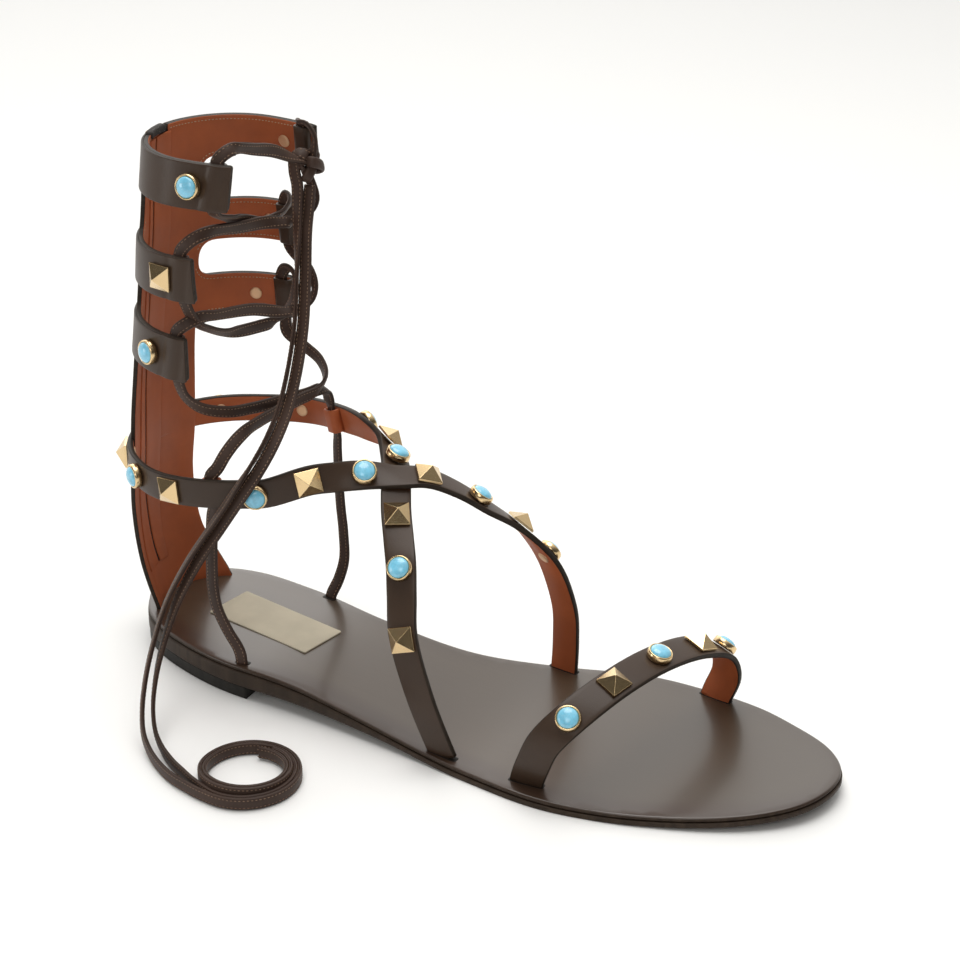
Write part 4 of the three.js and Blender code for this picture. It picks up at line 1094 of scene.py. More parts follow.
def make_finishes(colours):
    """Every finish of the sandal, by its name."""
    FINISHES.update(
        outer=leather("outer_leather", tuple(colours.outer), 1.0, 0.44, 0.1, coat=0.12),
        lining=lining_leather("lining_leather", tuple(colours.lining)),
        edge=painted_edge("edge_paint", tuple(colours.edge)),
        sole_edge=painted_edge("sole_edge_paint", tuple(colours.sole_edge)),
        heel_block=painted_edge("heel_block_paint", tuple(colours.heel_block)),
        footbed=footbed_leather(colours),
        label=label_finish(colours),
        gold=metal("gold_plate", tuple(colours.gold), 0.2),
        rivet=metal("rivet_brass", tuple(colours.rivet), 0.5, 3.0),
        slider=metal("slider_brass", tuple(colours.slider), 0.36, 2.0),
        stone=stone_finish(colours),
        lace=leather("lace_leather", tuple(colours.lace), 1.7, 0.5, 0.2, 0.5),
        thread=thread_finish("thread_tan", tuple(colours.thread)),
        pale_thread=thread_finish("thread_pale", tuple(colours.pale_thread)),
        tape=tape_finish(colours),
        # Near-black painted shade, for the footbed's slits and the gap between the zip's lining edges.
        slit=painted_edge("slit_dark", shade(tuple(colours.edge), 0.35)),
    )


# Geometry Nodes: copies of one shape on a row of frames


def scatter_tree():
    """A tree that puts a copy of a shape on each point, turned by the point's tangent and outward."""
    tree = bpy.data.node_groups.new("copies_on_frames", "GeometryNodeTree")
    sockets = [
        ("Points", "NodeSocketGeometry"), ("Shape", "NodeSocketObject"), ("Size", "NodeSocketVector"),
        ("Spread", "NodeSocketFloat"), ("Seed", "NodeSocketInt"), ("Finish", "NodeSocketMaterial"),
    ]
    for name, kind in sockets:
        tree.interface.new_socket(name, in_out="INPUT", socket_type=kind)
    tree.interface.new_socket("Copies", in_out="OUTPUT", socket_type="NodeSocketGeometry")
    nodes = Nodes(tree)
    given = tree.nodes.new("NodeGroupInput")
    source = {name: Socket(nodes, given.outputs[name]) for name, _ in sockets}
    named = {"data_type": "FLOAT_VECTOR"}
    tangent = nodes.add("GeometryNodeInputNamedAttribute", named, {"Name": "tangent"})
    outward = nodes.add("GeometryNodeInputNamedAttribute", named, {"Name": "outward"})
    lie = nodes.add("FunctionNodeAlignRotationToVector", {"axis": "X"}, {"Vector": tangent})
    face = {"axis": "Z", "pivot_axis": "X"}
    turn = nodes.add("FunctionNodeAlignRotationToVector", face, {"Rotation": lie, "Vector": outward})
    low, high = 1 - source["Spread"], 1 + source["Spread"]
    ends = {2: low, 3: high, "Seed": source["Seed"]}
    spread = nodes.add("FunctionNodeRandomValue", {"data_type": "FLOAT"}, ends, 1)
    size = nodes.add("ShaderNodeVectorMath", {"operation": "SCALE"}, {0: source["Size"], "Scale": spread})
    shape = nodes.add("GeometryNodeObjectInfo", {}, {"Object": source["Shape"]}, "Geometry")
    inputs = {"Points": source["Points"], "Instance": shape, "Rotation": turn, "Scale": size}
    copies = nodes.add("GeometryNodeInstanceOnPoints", {}, inputs)
    real = nodes.add("GeometryNodeRealizeInstances", {}, {"Geometry": copies})
    done = nodes.add("GeometryNodeSetMaterial", {}, {"Geometry": real, "Material": source["Finish"]})
    sink = tree.nodes.new("NodeGroupOutput")
    tree.links.new(done.socket, sink.inputs[0])
    return tree


def scatter(name, frames, shape, finish, size=(1, 1, 1), spread=0.0, seed=1):
    """A plain mesh of copies of the shape on the frames, made by the tree."""
    tree = bpy.data.node_groups.get("copies_on_frames") or scatter_tree()
    mesh = bpy.data.meshes.new(name)
    mesh.from_pydata([tuple(map(float, p)) for p in frames["point"]], [], [])
    for key in ("tangent", "outward"):
        attribute = mesh.attributes.new(key, "FLOAT_VECTOR", "POINT")
        attribute.data.foreach_set("vector", np.asarray(frames[key], np.float32).ravel())
    piece = new_object(name, mesh)
    modifier = piece.modifiers.new("copies", "NODES")
    modifier.node_group = tree
    values = {"Shape": shape, "Size": size, "Spread": float(spread), "Seed": seed, "Finish": finish}
    for item in tree.interface.items_tree:
        if item.in_out == "INPUT" and item.name in values:
            modifier[item.identifier] = values[item.name]
    graph = bpy.context.evaluated_depsgraph_get()
    made = piece.evaluated_get(graph)
    result = bpy.data.meshes.new_from_object(made, preserve_all_data_layers=True, depsgraph=graph)
    piece.modifiers.clear()
    piece.data = result
    result.name = name
    bpy.data.meshes.remove(mesh)
    return piece


def source_shape(name, mesh):
    """An object that only the tree reads. It is deleted once its copies are made."""
    piece = new_object(name, mesh)
    piece.hide_render = True
    return piece


def drop(*pieces):
    for piece in pieces:
        bpy.data.objects.remove(piece)


def stitch_shape(finish):
    """One stitch: a short rounded bar of unit size that lies along X."""
    profile = [(0, -0.5), (0.36, -0.4), (0.5, -0.15), (0.5, 0.15), (0.36, 0.4), (0, 0.5)]
    mesh = lathe("stitch_bar", profile, 6, finish)
    mesh.transform(Matrix.Rotation(math.pi / 2, 4, "Y"))
    return source_shape("stitch_bar", mesh)


# Sizes and colours that a user would change


def size_property(name, description, millimetres):
    return bpy.props.FloatProperty(
        name=name, description=description, default=millimetres * MM, min=0.1 * MM, precision=5,
        unit="LENGTH")


class SandalSizes(bpy.types.PropertyGroup):
    """Sizes of the laces, stitches and small parts."""

    lace_width: size_property("Lace width", "Width of the flat lace", 4.2)
    lace_thickness: size_property("Lace thickness", "Thickness of the flat lace", 1.4)
    stitch_pitch: size_property("Stitch pitch", "Distance from stitch to stitch", 1.25)
    stitch_length: size_property("Stitch length", "Length of the thread that shows", 0.75)
    stitch_width: size_property("Stitch width", "Width of the thread", 0.3)
    edge_radius: size_property("Edge radius", "Rounding of the leather's painted edges", 0.35)
    rivet_radius: size_property("Rivet radius", "Radius of the rivets inside the straps", 2.1)
    tooth_pitch: size_property("Tooth pitch", "Distance from tooth to tooth of the zip", 1.5)
    zip_gap: size_property("Zip gap", "Gap between the lining's edges over the zip", 1.1)
    seed: bpy.props.IntProperty(
        name="Seed", description="Seed of the small differences between stitches", default=7)


def colour_property(name, description, code):
    return bpy.props.FloatVectorProperty(
        name=name, description=description, default=linear(code), size=3, min=0, max=1, subtype="COLOR")


class SandalColours(bpy.types.PropertyGroup):
    """Colours of the sandal's leathers, metals and stones."""

    outer: colour_property("Outer leather", "Straps, arms and the outside of the panel", "3b2b1f")
    lining: colour_property("Lining", "Cognac lining inside the shaft and straps", "a5562f")
    edge: colour_property("Edge paint", "Cut edges of the straps", "2c241d")
    sole_edge: colour_property("Sole edge", "Painted sides of the sole", "372c23")
    heel_block: colour_property("Heel block", "Painted sides of the heel block", "23211e")
    rivet: colour_property("Rivets", "Flat rivet heads inside the straps", "dcb894")
    footbed: colour_property("Footbed", "Middle of the footbed", "4a3c2e")
    # The burnish colour also darkens the footbed's near rim as painted shade.
    burnish: colour_property("Burnish", "Brown burnish near the footbed's rim", "35241a")
    label: colour_property("Label", "Bare label on the footbed", "bdb5a0")
    gold: colour_property("Gold", "Studs and settings", "e0c496")
    slider: colour_property("Slider", "Slider of the zip", "8a7350")
    stone: colour_property("Stone", "Domed stones", "7fcdeb")
    lace: colour_property("Lace", "Leather of the laces", "3f2f27")
    thread: colour_property("Lace thread", "Stitches along the laces", "8a6e58")
    pale_thread: colour_property("Lining thread", "Stitches along the lining", "b39a7d")
    zip_tape: colour_property("Zip tape", "Cloth of the zip", "2a2522")
    floor: colour_property("Floor", "Studio floor", "f4f4f3")


def sizes():
    return bpy.context.scene.sandal_sizes


def colours():
    return bpy.context.scene.sandal_colours


# Camera, floor and lights

CAMERA_PLACE = (409.4, -565.4, 397.8)
CAMERA_TARGET = (93.146, 12.154, 76.26)
FOCAL_PIXELS = 2300
PHOTO_PIXELS = 960
SENSOR = 36


def aim(piece, target):
    direction = Vector(target) - piece.location
    piece.rotation_euler = direction.to_track_quat("-Z", "Y").to_euler()


def add_camera():
    data = bpy.data.cameras.new("photo_camera")
    data.sensor_width = SENSOR
    data.lens = FOCAL_PIXELS / PHOTO_PIXELS * SENSOR
    data.clip_start = 0.01
    data.clip_end = 20
    camera = bpy.data.objects.new("photo_camera", data)
    bpy.context.scene.collection.objects.link(camera)
    camera.location = Vector(CAMERA_PLACE) * MM
    aim(camera, Vector(CAMERA_TARGET) * MM)
    bpy.context.scene.camera = camera


# Lights: name, place, target, size, power and warmth
SOFTBOXES = [
    ("overhead", (0.0, 0.1, 1.1), (0.08, 0, 0.05), 0.9, 7.0, (1.0, 0.99, 0.97)),
    ("left_front", (-0.95, -0.95, 0.25), (0.05, 0, 0.08), 0.5, 2.2, (1.0, 0.99, 0.97)),
    ("behind_heel", (-0.69, 0.88, 0.67), (0.0, 0, 0.01), 0.6, 0.25, (1.0, 1.0, 1.0)),
    ("front", (0.4, -1.0, 0.7), (0.08, 0, 0.05), 0.6, 2.2, (1.0, 0.98, 0.95)),
]
# Strength of the room's dark side and bright side, and what the window adds
ROOM_DARK = 0.08
ROOM_BRIGHT = 1.2
ROOM_WINDOW = 1.1
ROOM_COLOUR = (1, 0.99, 0.965, 1)
SQUARE = ((-1, -1), (1, -1), (1, 1), (-1, 1))
FLOOR_HALF = 4


def studio_world():
    """The room: bright above and behind the heel, dark past the toe."""
    world = bpy.data.worlds.new("studio")
    world.use_nodes = True
    world.node_tree.nodes.clear()
    nodes = Nodes(world.node_tree)
    x, y, z = nodes.split(nodes.add("ShaderNodeTexCoord", {}, {}, "Generated"))
    # Each patch of the room is a range along one direction or a few
    glow = (x * -0.6 + y * 0.42 + z * 0.6).between(-0.35, 0.85)
    window = (x * -1).between(0.22, 0.62) * y.between(0.2, 0.6) * z.between(0.1, 0.3)
    card = (x * -0.6 + y * -0.49 + z * 0.63).between(0.8, 0.93)
    strength = (glow * (ROOM_BRIGHT - ROOM_DARK) + ROOM_DARK + window * ROOM_WINDOW) * (1 - card * 0.93)
    light = {"Color": ROOM_COLOUR, "Strength": strength}
    background = nodes.add("ShaderNodeBackground", {}, light)
    nodes.add("ShaderNodeOutputWorld", {}, {"Surface": background})
    return world


def add_stage():
    for name, place, target, size, power, warmth in SOFTBOXES:
        data = bpy.data.lights.new(name, "AREA")
        data.shape = "DISK"
        data.size = size
        data.energy = power
        data.color = warmth
        light = bpy.data.objects.new(name, data)
        bpy.context.scene.collection.objects.link(light)
        light.location = place
        aim(light, target)
    bpy.context.scene.world = studio_world()
    bpy.context.scene.view_settings.view_transform = "Standard"
    corners = [(x * FLOOR_HALF, y * FLOOR_HALF, 0) for x, y in SQUARE]
    floor = new_object("floor", make_mesh("floor", corners, [(0, 1, 2, 3)], [floor_finish(colours())]))
    floor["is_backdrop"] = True


# Laces


def lace_profile():
    """Half-flat folded lace: round edges, two shallow stitch grooves and a padded middle."""
    half, thick = sizes().lace_width / 2, sizes().lace_thickness / 2
    quarter = [(1, 0), (0.985, 0.36), (0.93, 0.66), (0.84, 0.86), (0.62, 0.8), (0.4, 0.97), (0, 1)]
    top = quarter + [(-x, y) for x, y in reversed(quarter[:-1])]
    bottom = [(-x, -y) for x, y in reversed(top[1:-1])]
    return [(x * half, y * thick) for x, y in top + bottom]


def lace_mesh(name, frames):
    return sweep(name, frames, lace_profile(), [FINISHES["lace"]])


STITCH_ROW = 0.62


def lace_stitches(name, points, outwards, shape, seed):
    """Two rows of stitches on each face of a lace."""
    frames = curve_frames(points, outwards, pitch=sizes().stitch_pitch)
    side = STITCH_ROW * sizes().lace_width / 2
    height = 0.8 * sizes().lace_thickness / 2
    rows = [moved(frames, across=s * side, outward=f * height, flip=f < 0) for s in (-1, 1) for f in (-1, 1)]
    size = (sizes().stitch_length, sizes().stitch_width, sizes().stitch_width)
    return scatter(name, joined(*rows), shape, FINISHES["thread"], size, 0.12, seed)


def coil_rows(key):
    """Places and outward directions of a lace end's turns, which stand on edge round the coil."""
    turns = COIL_TURNS[key]
    count = int((turns["stop"] - turns["start"]) / 12)
    degrees = np.linspace(turns["start"], turns["stop"], count + 1)[1:]
    settle = clamp01((degrees - turns["start"]) / turns["settle"])
    radius = turns["first"] + (COIL_ENTRY - turns["first"]) * (1 - settle) ** 2
    radius = radius - COIL_PITCH * np.maximum(0, degrees + 90) / 360
    second = smoothstep(degrees, 150, 260)
    lift = COIL_LIFT * second * (0.6 - 0.4 * np.sin(degrees * DEGREE))
    angle = degrees * DEGREE
    points = np.column_stack([
        COIL_CENTRE[0] + radius * np.cos(angle), COIL_CENTRE[1] + radius * np.sin(angle), FLOOR_REST + lift,
    ])
    outward = np.column_stack([np.cos(angle), np.sin(angle), np.zeros(len(angle))])
    return points, outward


def end_rows(route, key, start_facing, lead):
    """Rows of a whole lace end: out of the knot, down the given route, then round the coil."""
    route = np.array(route, float)
    coil, outward = coil_rows(key)
    shares = smoothstep(np.linspace(0, 1, len(route)), 0.35, 0.95)[:, None]
    entry = COIL_TURNS[key]["start"] * DEGREE
    last = np.array([math.cos(entry), math.sin(entry), 0])
    facing = unit(lerp(np.array(start_facing[-1]), last, shares))
    facing[:len(start_facing)] = unit(np.array(start_facing, float))
    rows = np.array(lead, float).reshape(-1, 6)
    points = np.vstack([rows[:, :3], route, coil]) * MM
    return points, np.vstack([unit(rows[:, 3:]), facing, outward])


# Places and facings of the first end between the knot and its route
LEAD_A = [
    (30.2, 15.0, 173.0, 0.1, -0.7, 0.7), (28.0, 13.6, 174.0, -0.1, -0.7, 0.7),
    (26.5, 12.9, 172.2, -0.1, -0.9, 0.3), (26.4, 12.8, 168.2, 0.0, -1.0, 0.1),
]
FACING_A = [(0.02, -0.99, 0.12), (-0.08, -0.98, 0.1), (-0.4, -0.9, 0.1), (-0.85, -0.5, 0.1)]
FACING_B = [(0.02, -0.99, 0.12)]


def build_lace_ends():
    shape = stitch_shape(FINISHES["thread"])
    plans = [
        ("a", END_A_ROUTE, FACING_A, LENGTH_A, "lace_end_a", LEAD_A),
        ("b", END_B_ROUTE, FACING_B, LENGTH_B, "lace_end_b", []),
    ]
    for key, route, facing, length, node, lead in plans:
        points, outwards = end_rows(route, key, facing, lead)
        frames = curve_frames(points, outwards, pitch=0.9 * MM)
        name = f"hanging_end_{key}"
        piece = new_object(name, lace_mesh(name, frames))
        dress(piece, "lace", node, "lace_coil")
        rows = lace_stitches(f"{name}_stitches", points, outwards, shape, sizes().seed)
        dress(rows, "lace")
        tuple(frames["point"][0])
        [tuple(p) for p in frames["point"]]
    drop(shape)


def lace_plans():
    """Rows of each of the two laces from its foot to the knot."""
    top, middle, low = ARMS
    keepers = [keeper_frame(LATERAL_ROWS, LATERAL_KEEPER), keeper_frame(MEDIAL_ROWS, MEDIAL_KEEPER)]
    routes = [
        (1, (LATERAL_FOOT, LATERAL_LOW, MEDIAL_MIDDLE, LATERAL_HIGH, MEDIAL_TOP)),
        (-1, (MEDIAL_FOOT, MEDIAL_LOW, LATERAL_MIDDLE, MEDIAL_HIGH, LATERAL_TOP)),
    ]
    plans = []
    for (side, free), keeper in zip(routes, keepers):
        held = [
            through_keeper(keeper), through_tunnel(low, side), through_tunnel(middle, -side),
            through_tunnel(top, side),
        ]
        stretches = [lace_rows(free[0])]
        for stretch, route in zip(held, free[1:]):
            stretches += [stretch, lace_rows(route)]
        points, outwards = (np.vstack(part) for part in zip(*stretches))
        plans.append((points, turned_in_bends(points, outwards, stretches)))
    return plans


# Bends, as one over their radius, where a free lace starts to turn and where it has turned in full,
# and how much of the full turn it takes
BEND_START = 0.03 / MM
BEND_FULL = 0.16 / MM
BEND_SHARE = 0.5


def turned_in_bends(points, outwards, stretches):
    """Turns a free lace in its tight bends, so that it bends over its face and not its edge."""
    held = np.concatenate([[k % 2 == 1] * len(stretch[0]) for k, stretch in enumerate(stretches)])
    steps = np.linalg.norm(np.diff(points, axis=0), axis=1)
    along = unit(np.diff(points, axis=0))
    bend = np.zeros_like(points)
    bend[1:-1] = (along[:-1] - along[1:]) / ((steps[:-1] + steps[1:])[:, None] / 2)
    level = np.linalg.norm(bend, axis=1)
    share = smoothstep(level, BEND_START, BEND_FULL) * BEND_SHARE
    share[held] = 0
    facing = bend / np.maximum(level, 1e-9)[:, None]
    return unit(lerp(outwards, facing, share[:, None]) + 1e-9)


def build_laces():
    shape = stitch_shape(FINISHES["thread"])
    for number, (points, outwards) in enumerate(lace_plans(), 1):
        name = f"shaft_lace_{number}"
        frames = curve_frames(points, outwards, pitch=1.0 * MM)
        foot = frames["point"][:, 2] > footbed_top(frames["point"][:, 0]) - 1.2 * MM
        piece = new_object(name, lace_mesh(name, pick(frames, foot)))
        dress(piece, "lace", "lace_low", "lace_middle", "lace_high")
        dress(lace_stitches(f"{name}_stitches", points, outwards, shape, sizes().seed + number), "lace")
    drop(shape)


KNOT_WIDTH = 3.4
KNOT_THICKNESS = 1.7


def build_knot():
    """An overhand knot: a closed three-leaved path, swept with a rounded, squeezed lace."""
    t = np.linspace(0, 2 * math.pi, 91)
    leaves = np.column_stack([
        np.sin(t) + 2 * np.sin(2 * t), np.sin(3 * t) * 1.3, np.cos(t) - 2 * np.cos(2 * t),
    ])
    reach = np.array(KNOT_RADII) - np.array([0.7, 0.7, 0.9])
    points = leaves / np.abs(leaves).max(axis=0) * reach
    outward = unit(points / reach ** 2)
    turn = Matrix.Rotation(20 * DEGREE, 3, "Y")
    points = points @ np.array(turn.transposed()) + np.array(KNOT_CENTRE)
    frames = curve_frames(points * MM, outward, steps=150)
    loop = [
        (KNOT_WIDTH / 2 * MM * math.copysign(abs(math.cos(a)) ** 0.7, math.cos(a)),
         KNOT_THICKNESS / 2 * MM * math.copysign(abs(math.sin(a)) ** 0.8, math.sin(a)))
        for a in np.linspace(0, 2 * math.pi, 20, endpoint=False)
    ]
    piece = new_object("lace_knot_tied", sweep("lace_knot_tied", frames, loop, [FINISHES["lace"]]))
    dress(piece, "lace", "lace_knot")


# Sole and label


def store_rim(mesh, loop, reach):
    """Stores how near each point is to the outline: 1 at the edge, 0 from reach inwards."""
    plan = np.array([tuple(v.co)[:2] for v in mesh.vertices])
    _, nearest = loop_side(plan, loop)
    attribute = mesh.attributes.new("rim", "FLOAT", "POINT")
    attribute.data.foreach_set("value", (1 - clamp01(nearest / reach)).astype(np.float32))


def build_sole():
    outline = sole_loop()
    inner = inset_loop(outline, EDGE_INSET)

    def on_top(x, y, depth):
        return np.column_stack([x, y, footbed_top(x) - depth])

    rings = round_rings(INSOLE_THICKNESS, 0.7 * MM, 4)
    finishes = [FINISHES["footbed"], FINISHES["sole_edge"]]
    mesh = plate("footbed", inner, on_top, rings, 2.6 * MM, finishes, edge_zones(rings, 0, 1, 1))
    store_rim(mesh, inner, 13 * MM)
    dress(new_object("footbed", mesh), "footbed", "insole")

    def side_wall(x, y, depth):
        top = footbed_top(x) - INSOLE_THICKNESS - 0.15 * MM
        return np.column_stack([x, y, lerp(top, sole_bottom(x), depth)])

    steps = [(0.35 * MM, 0), (0.1 * MM, 0.05), (0, 0.16), (0, 0.84), (0.12 * MM, 0.96), (0.4 * MM, 1)]
    mesh = plate("outsole_edge", outline, side_wall, steps, 5 * MM, [FINISHES["sole_edge"]])
    dress(new_object("outsole_edge", mesh), "edge", "outsole")

    heel = inset_loop(sole_loop(HEEL_BREAST, 80), EDGE_INSET * 0.6)

    def block(x, y, depth):
        return np.column_stack([x, y, np.full(len(x), HEEL_LIFT + CLEARANCE - depth)])

    rings = round_rings(HEEL_LIFT + CLEARANCE, 0.3 * MM)
    mesh = plate("heel_block", heel, block, rings, 4 * MM, [FINISHES["heel_block"]])
    dress(new_object("heel_block", mesh), "edge", "heel_lift")


def build_label():
    turn = LABEL_TURN * DEGREE
    centre = np.array([LABEL_PLACE[0] * LENGTH - HEEL_REACH, LABEL_PLACE[1] * BALL_WIDTH])
    axes = np.array([[math.cos(turn), math.sin(turn)], [-math.sin(turn), math.cos(turn)]])
    loop = centre + rounded_box(LABEL_LENGTH, LABEL_WIDTH, 0.6 * MM) @ axes

    def lying(x, y, depth):
        return np.column_stack([x, y, footbed_top(x) + 0.55 * MM - depth])

    rings = round_rings(0.6 * MM, 0.18 * MM)
    mesh = plate("label_patch", loop, lying, rings, 2 * MM, [FINISHES["label"]])
    store_rim(mesh, loop, 1.2 * MM)
    dress(new_object("label_patch", mesh), "label", "label")


def rounded_box(length, width, radius, steps=5):
    """A rectangle round its middle with rounded corners, counterclockwise."""
    points = []
    corners = [(1, -1, -90), (1, 1, 0), (-1, 1, 90), (-1, -1, 180)]
    for sx, sy, start in corners:
        centre = np.array([sx * (length / 2 - radius), sy * (width / 2 - radius)])
        for angle in np.linspace(start, start + 90, steps + 1) * DEGREE:
            points.append(centre + radius * np.array([math.cos(angle), math.sin(angle)]))
    return np.array(points)


# Shaft: back panel with its arms, outer arm strips, lace loops

CORNER_RADIUS = 6 * MM
END_RADIUS = 1.2 * MM
SMALL_RADIUS = 0.8 * MM


def rounded_path(corners, pitch):
    """Points along a loop of corners, each (u, v, radius), with round corners and even steps."""
    points = []
    count = len(corners)
    for i in range(count):
        before, here, after = (np.array(corners[(i + k) % count][:2]) for k in (-1, 0, 1))
        radius = corners[i][2]
        back, ahead = unit(before - here), unit(after - here)
        corner = math.acos(np.clip(back @ ahead, -1, 1))
        reach = radius / math.tan(corner / 2) if corner < math.pi - 0.02 else 0
        reach = min(reach, 0.48 * np.linalg.norm(before - here), 0.48 * np.linalg.norm(after - here))
        if reach <= 1e-6:
            points.append(here)
            continue
        start, stop = here + back * reach, here + ahead * reach
        steps = max(3, int(reach / (0.8 * MM)))
        for t in np.linspace(0, 1, steps + 1):
            points.append((1 - t) ** 2 * start + 2 * t * (1 - t) * here + t ** 2 * stop)
    loop = np.array(points)
    filled = []
    for a, b in zip(loop, np.roll(loop, -1, axis=0)):
        steps = max(1, int(np.linalg.norm(b - a) / pitch))
        filled += [lerp(a, b, k / steps) for k in range(steps)]
    return np.array(filled)


def panel_corners():
    """Corners of the cut leather that makes the panel and the arms, as length round and height."""
    bottom = SEAT_HEIGHT - 1.0 * MM
    top = arm_height(ARMS[0]) + ARM_WIDTH / 2
    half_arm = ARM_WIDTH / 2

    def edge(key, low, high, upward=True):
        """Points up a side of the panel, clear of the round corners at its ends."""
        heights = np.arange(low + 4 * MM, high - 1.3 * CORNER_RADIUS, 4 * MM)
        return [(run_at(float(shaft_section(z)[key]), z), z, 0) for z in heights[::1 if upward else -1]]

    def arm_end(arm, side):
        z = arm_height(arm)
        rows = [(run_at(side * arm[2] * DEGREE, z + k * half_arm), z + k * half_arm) for k in (-1, 1)]
        return rows if side > 0 else rows[::-1]

    def inner_corner(key, z):
        return run_at(float(shaft_section(z)[key]), z), z, CORNER_RADIUS

    corners = [(run_at(float(shaft_section(bottom)["lateral"]), bottom), bottom, SMALL_RADIUS)]
    corners.append((run_at(float(shaft_section(bottom)["medial"]), bottom), bottom, SMALL_RADIUS))
    corners += edge("medial", bottom, arm_height(ARMS[-1]) - half_arm)
    for arm in reversed(ARMS):
        z = arm_height(arm)
        corners.append(inner_corner("medial", z - half_arm))
        corners += [(s, h, END_RADIUS) for s, h in arm_end(arm, 1)]
        if arm is not ARMS[0]:
            corners.append(inner_corner("medial", z + half_arm))
    slot = ZIP_SLOT / 2
    end = SEAT_HEIGHT + ZIP_END_HEIGHT
    corners += [(slot, top, SMALL_RADIUS), (slot, end, slot * 0.9)]
    corners += [(-slot, end, slot * 0.9), (-slot, top, SMALL_RADIUS)]
    for arm in ARMS:
        z = arm_height(arm)
        if arm is not ARMS[0]:
            corners.append(inner_corner("lateral", z + half_arm))
        corners += [(s, h, END_RADIUS) for s, h in arm_end(arm, -1)]
        corners.append(inner_corner("lateral", z - half_arm))
    corners += edge("lateral", bottom, arm_height(ARMS[-1]) - half_arm, upward=False)
    return corners


def on_shaft(face, bulge=None):
    """A place function for plates on the shaft, whose face lies a distance out."""

    def place(s, z, depth):
        z = np.minimum(z, SEAT_HEIGHT + SHAFT_HEIGHT)
        out = face - depth + (bulge(s, z) if bulge else 0)
        return shaft_point(angle_at(s, z), z, out)

    return place


def tunnel_runs(arm):
    z = arm_height(arm)
    return [run_at(loop_angle(arm, side), z) for side in (-1, 1)]


def build_shaft():
    loop = rounded_path(panel_corners(), 1.6 * MM)
    rings = round_rings(PANEL_WALL, sizes().edge_radius)
    finishes = [FINISHES["outer"], FINISHES["edge"], FINISHES["lining"]]
    zones = edge_zones(rings, 0, 1, 2)
    mesh = plate("shaft_panel", loop, on_shaft(0.0), rings, 3 * MM, finishes, zones)
    dress(new_object("shaft_panel", mesh), "outer", "upper")
    build_arm_strips()
    build_arm_loops()
    build_lining_flaps()


def build_arm_strips():
    """The outer strips that run round the back over the panel, swelling over the lace loops."""
    meshes = []
    for arm in ARMS:
        z = arm_height(arm)
        reach = run_at(arm[2] * DEGREE, z)
        centres = tunnel_runs(arm)
        gap = ZIP_SLOT / 2

        def swell(s, _, centres=centres):
            near = [np.abs(s - centre) for centre in centres]
            lobes = sum(np.exp(-(distance / (2.1 * MM)) ** 2) for distance in near)
            creases = sum(np.exp(-((distance - 3.4 * MM) / (0.6 * MM)) ** 2) for distance in near)
            return 0.35 * MM * lobes - 0.3 * MM * creases

        for side in (-1, 1):
            middle = side * (reach + gap) / 2
            loop = rounded_box(reach - gap, ARM_WIDTH, 0.5 * MM) + np.array([middle, z])
            loop = dense_loop(loop, 1.2 * MM)
            rings = round_rings(STRAP_PROUD + 0.1 * MM, 0.28 * MM)
            finishes = [FINISHES["outer"], FINISHES["edge"]]
            zones = edge_zones(rings, 0, 1, 1)
            cut = [run_at(arm[2] * DEGREE, height) / reach for height in loop[:, 1]]
            loop[:, 0] *= cut
            meshes.append(plate("arm", loop, on_shaft(STRAP_PROUD, swell), rings, 0.9 * MM, finishes, zones))
    dress(new_object("arm_strips", merge("arm_strips", meshes)), "outer", "upper")


def dense_loop(loop, pitch):
    filled = []
    for a, b in zip(loop, np.roll(loop, -1, axis=0)):
        steps = max(1, int(np.linalg.norm(b - a) / pitch))
        filled += [lerp(a, b, k / steps) for k in range(steps)]
    return np.array(filled)


LOOP_SLACK = 0.6 * MM
LOOP_WALL = 0.9 * MM


def loop_section(top, depth=TUNNEL_DEPTH):
    """The bent leather of a lace loop, as (along, out) pairs through its middle."""
    half = (TUNNEL_LENGTH - LOOP_SLACK + LOOP_WALL) / 2
    floor = top - depth - LOOP_WALL / 2
    corners = [(-half, top + 0.6 * MM), (-half, floor), (half, floor), (half, top + 0.6 * MM)]
    points = []
    radius = 1.3 * MM
    for i, (along, out) in enumerate(corners):
        if i in (0, 3):
            points.append((along, out))
            continue
        side = -1 if i == 1 else 1
        centre = (along - side * radius, out + radius)
        angles = np.linspace(180, 270, 7) if i == 1 else np.linspace(270, 360, 7)
        turns = angles * DEGREE
        points += list(zip(centre[0] + radius * np.cos(turns), centre[1] + radius * np.sin(turns)))
    return np.array(points)


def bent_strip(section, reach, wall, place, finish):
    """A strip of leather bent along a section and as tall as twice its reach, with rounded ends."""
    along = np.gradient(section, axis=0)
    normal = unit(np.column_stack([along[:, 1], -along[:, 0]]))
    outer, inner = section + normal * wall / 2, section - normal * wall / 2
    loop = np.vstack([outer, inner[::-1]])
    centre = np.vstack([section, section[::-1]])
    bevel = 0.25 * MM
    levels = [
        (-reach, 0.55), (-reach + bevel, 1), (-reach / 3, 1),
        (reach / 3, 1), (reach - bevel, 1), (reach, 0.55),
    ]
    count = len(loop)
    points, faces = [], []
    for up, width in levels:
        flat = centre + (loop - centre) * width
        points.append(place(flat[:, 0], flat[:, 1], up))
    for row in range(len(levels) - 1):
        for i in range(count):
            j = (i + 1) % count
            faces.append((row * count + i, row * count + j, (row + 1) * count + j, (row + 1) * count + i))
    half = len(section)
    for row, order in ((0, -1), (len(levels) - 1, 1)):
        for i in range(half - 1):
            first, last = row * count + i, (row + 1) * count - 1 - i
            face = (first, first + 1, last - 1, last)
            faces.append(face[::order])
    points = np.vstack(points)
    if volume(points, faces) < 0:
        faces = [tuple(reversed(face)) for face in faces]
    uvs = [(0.0, 0.0)] * sum(len(face) for face in faces)
    return make_mesh("loop", points, faces, [finish], None, uvs)


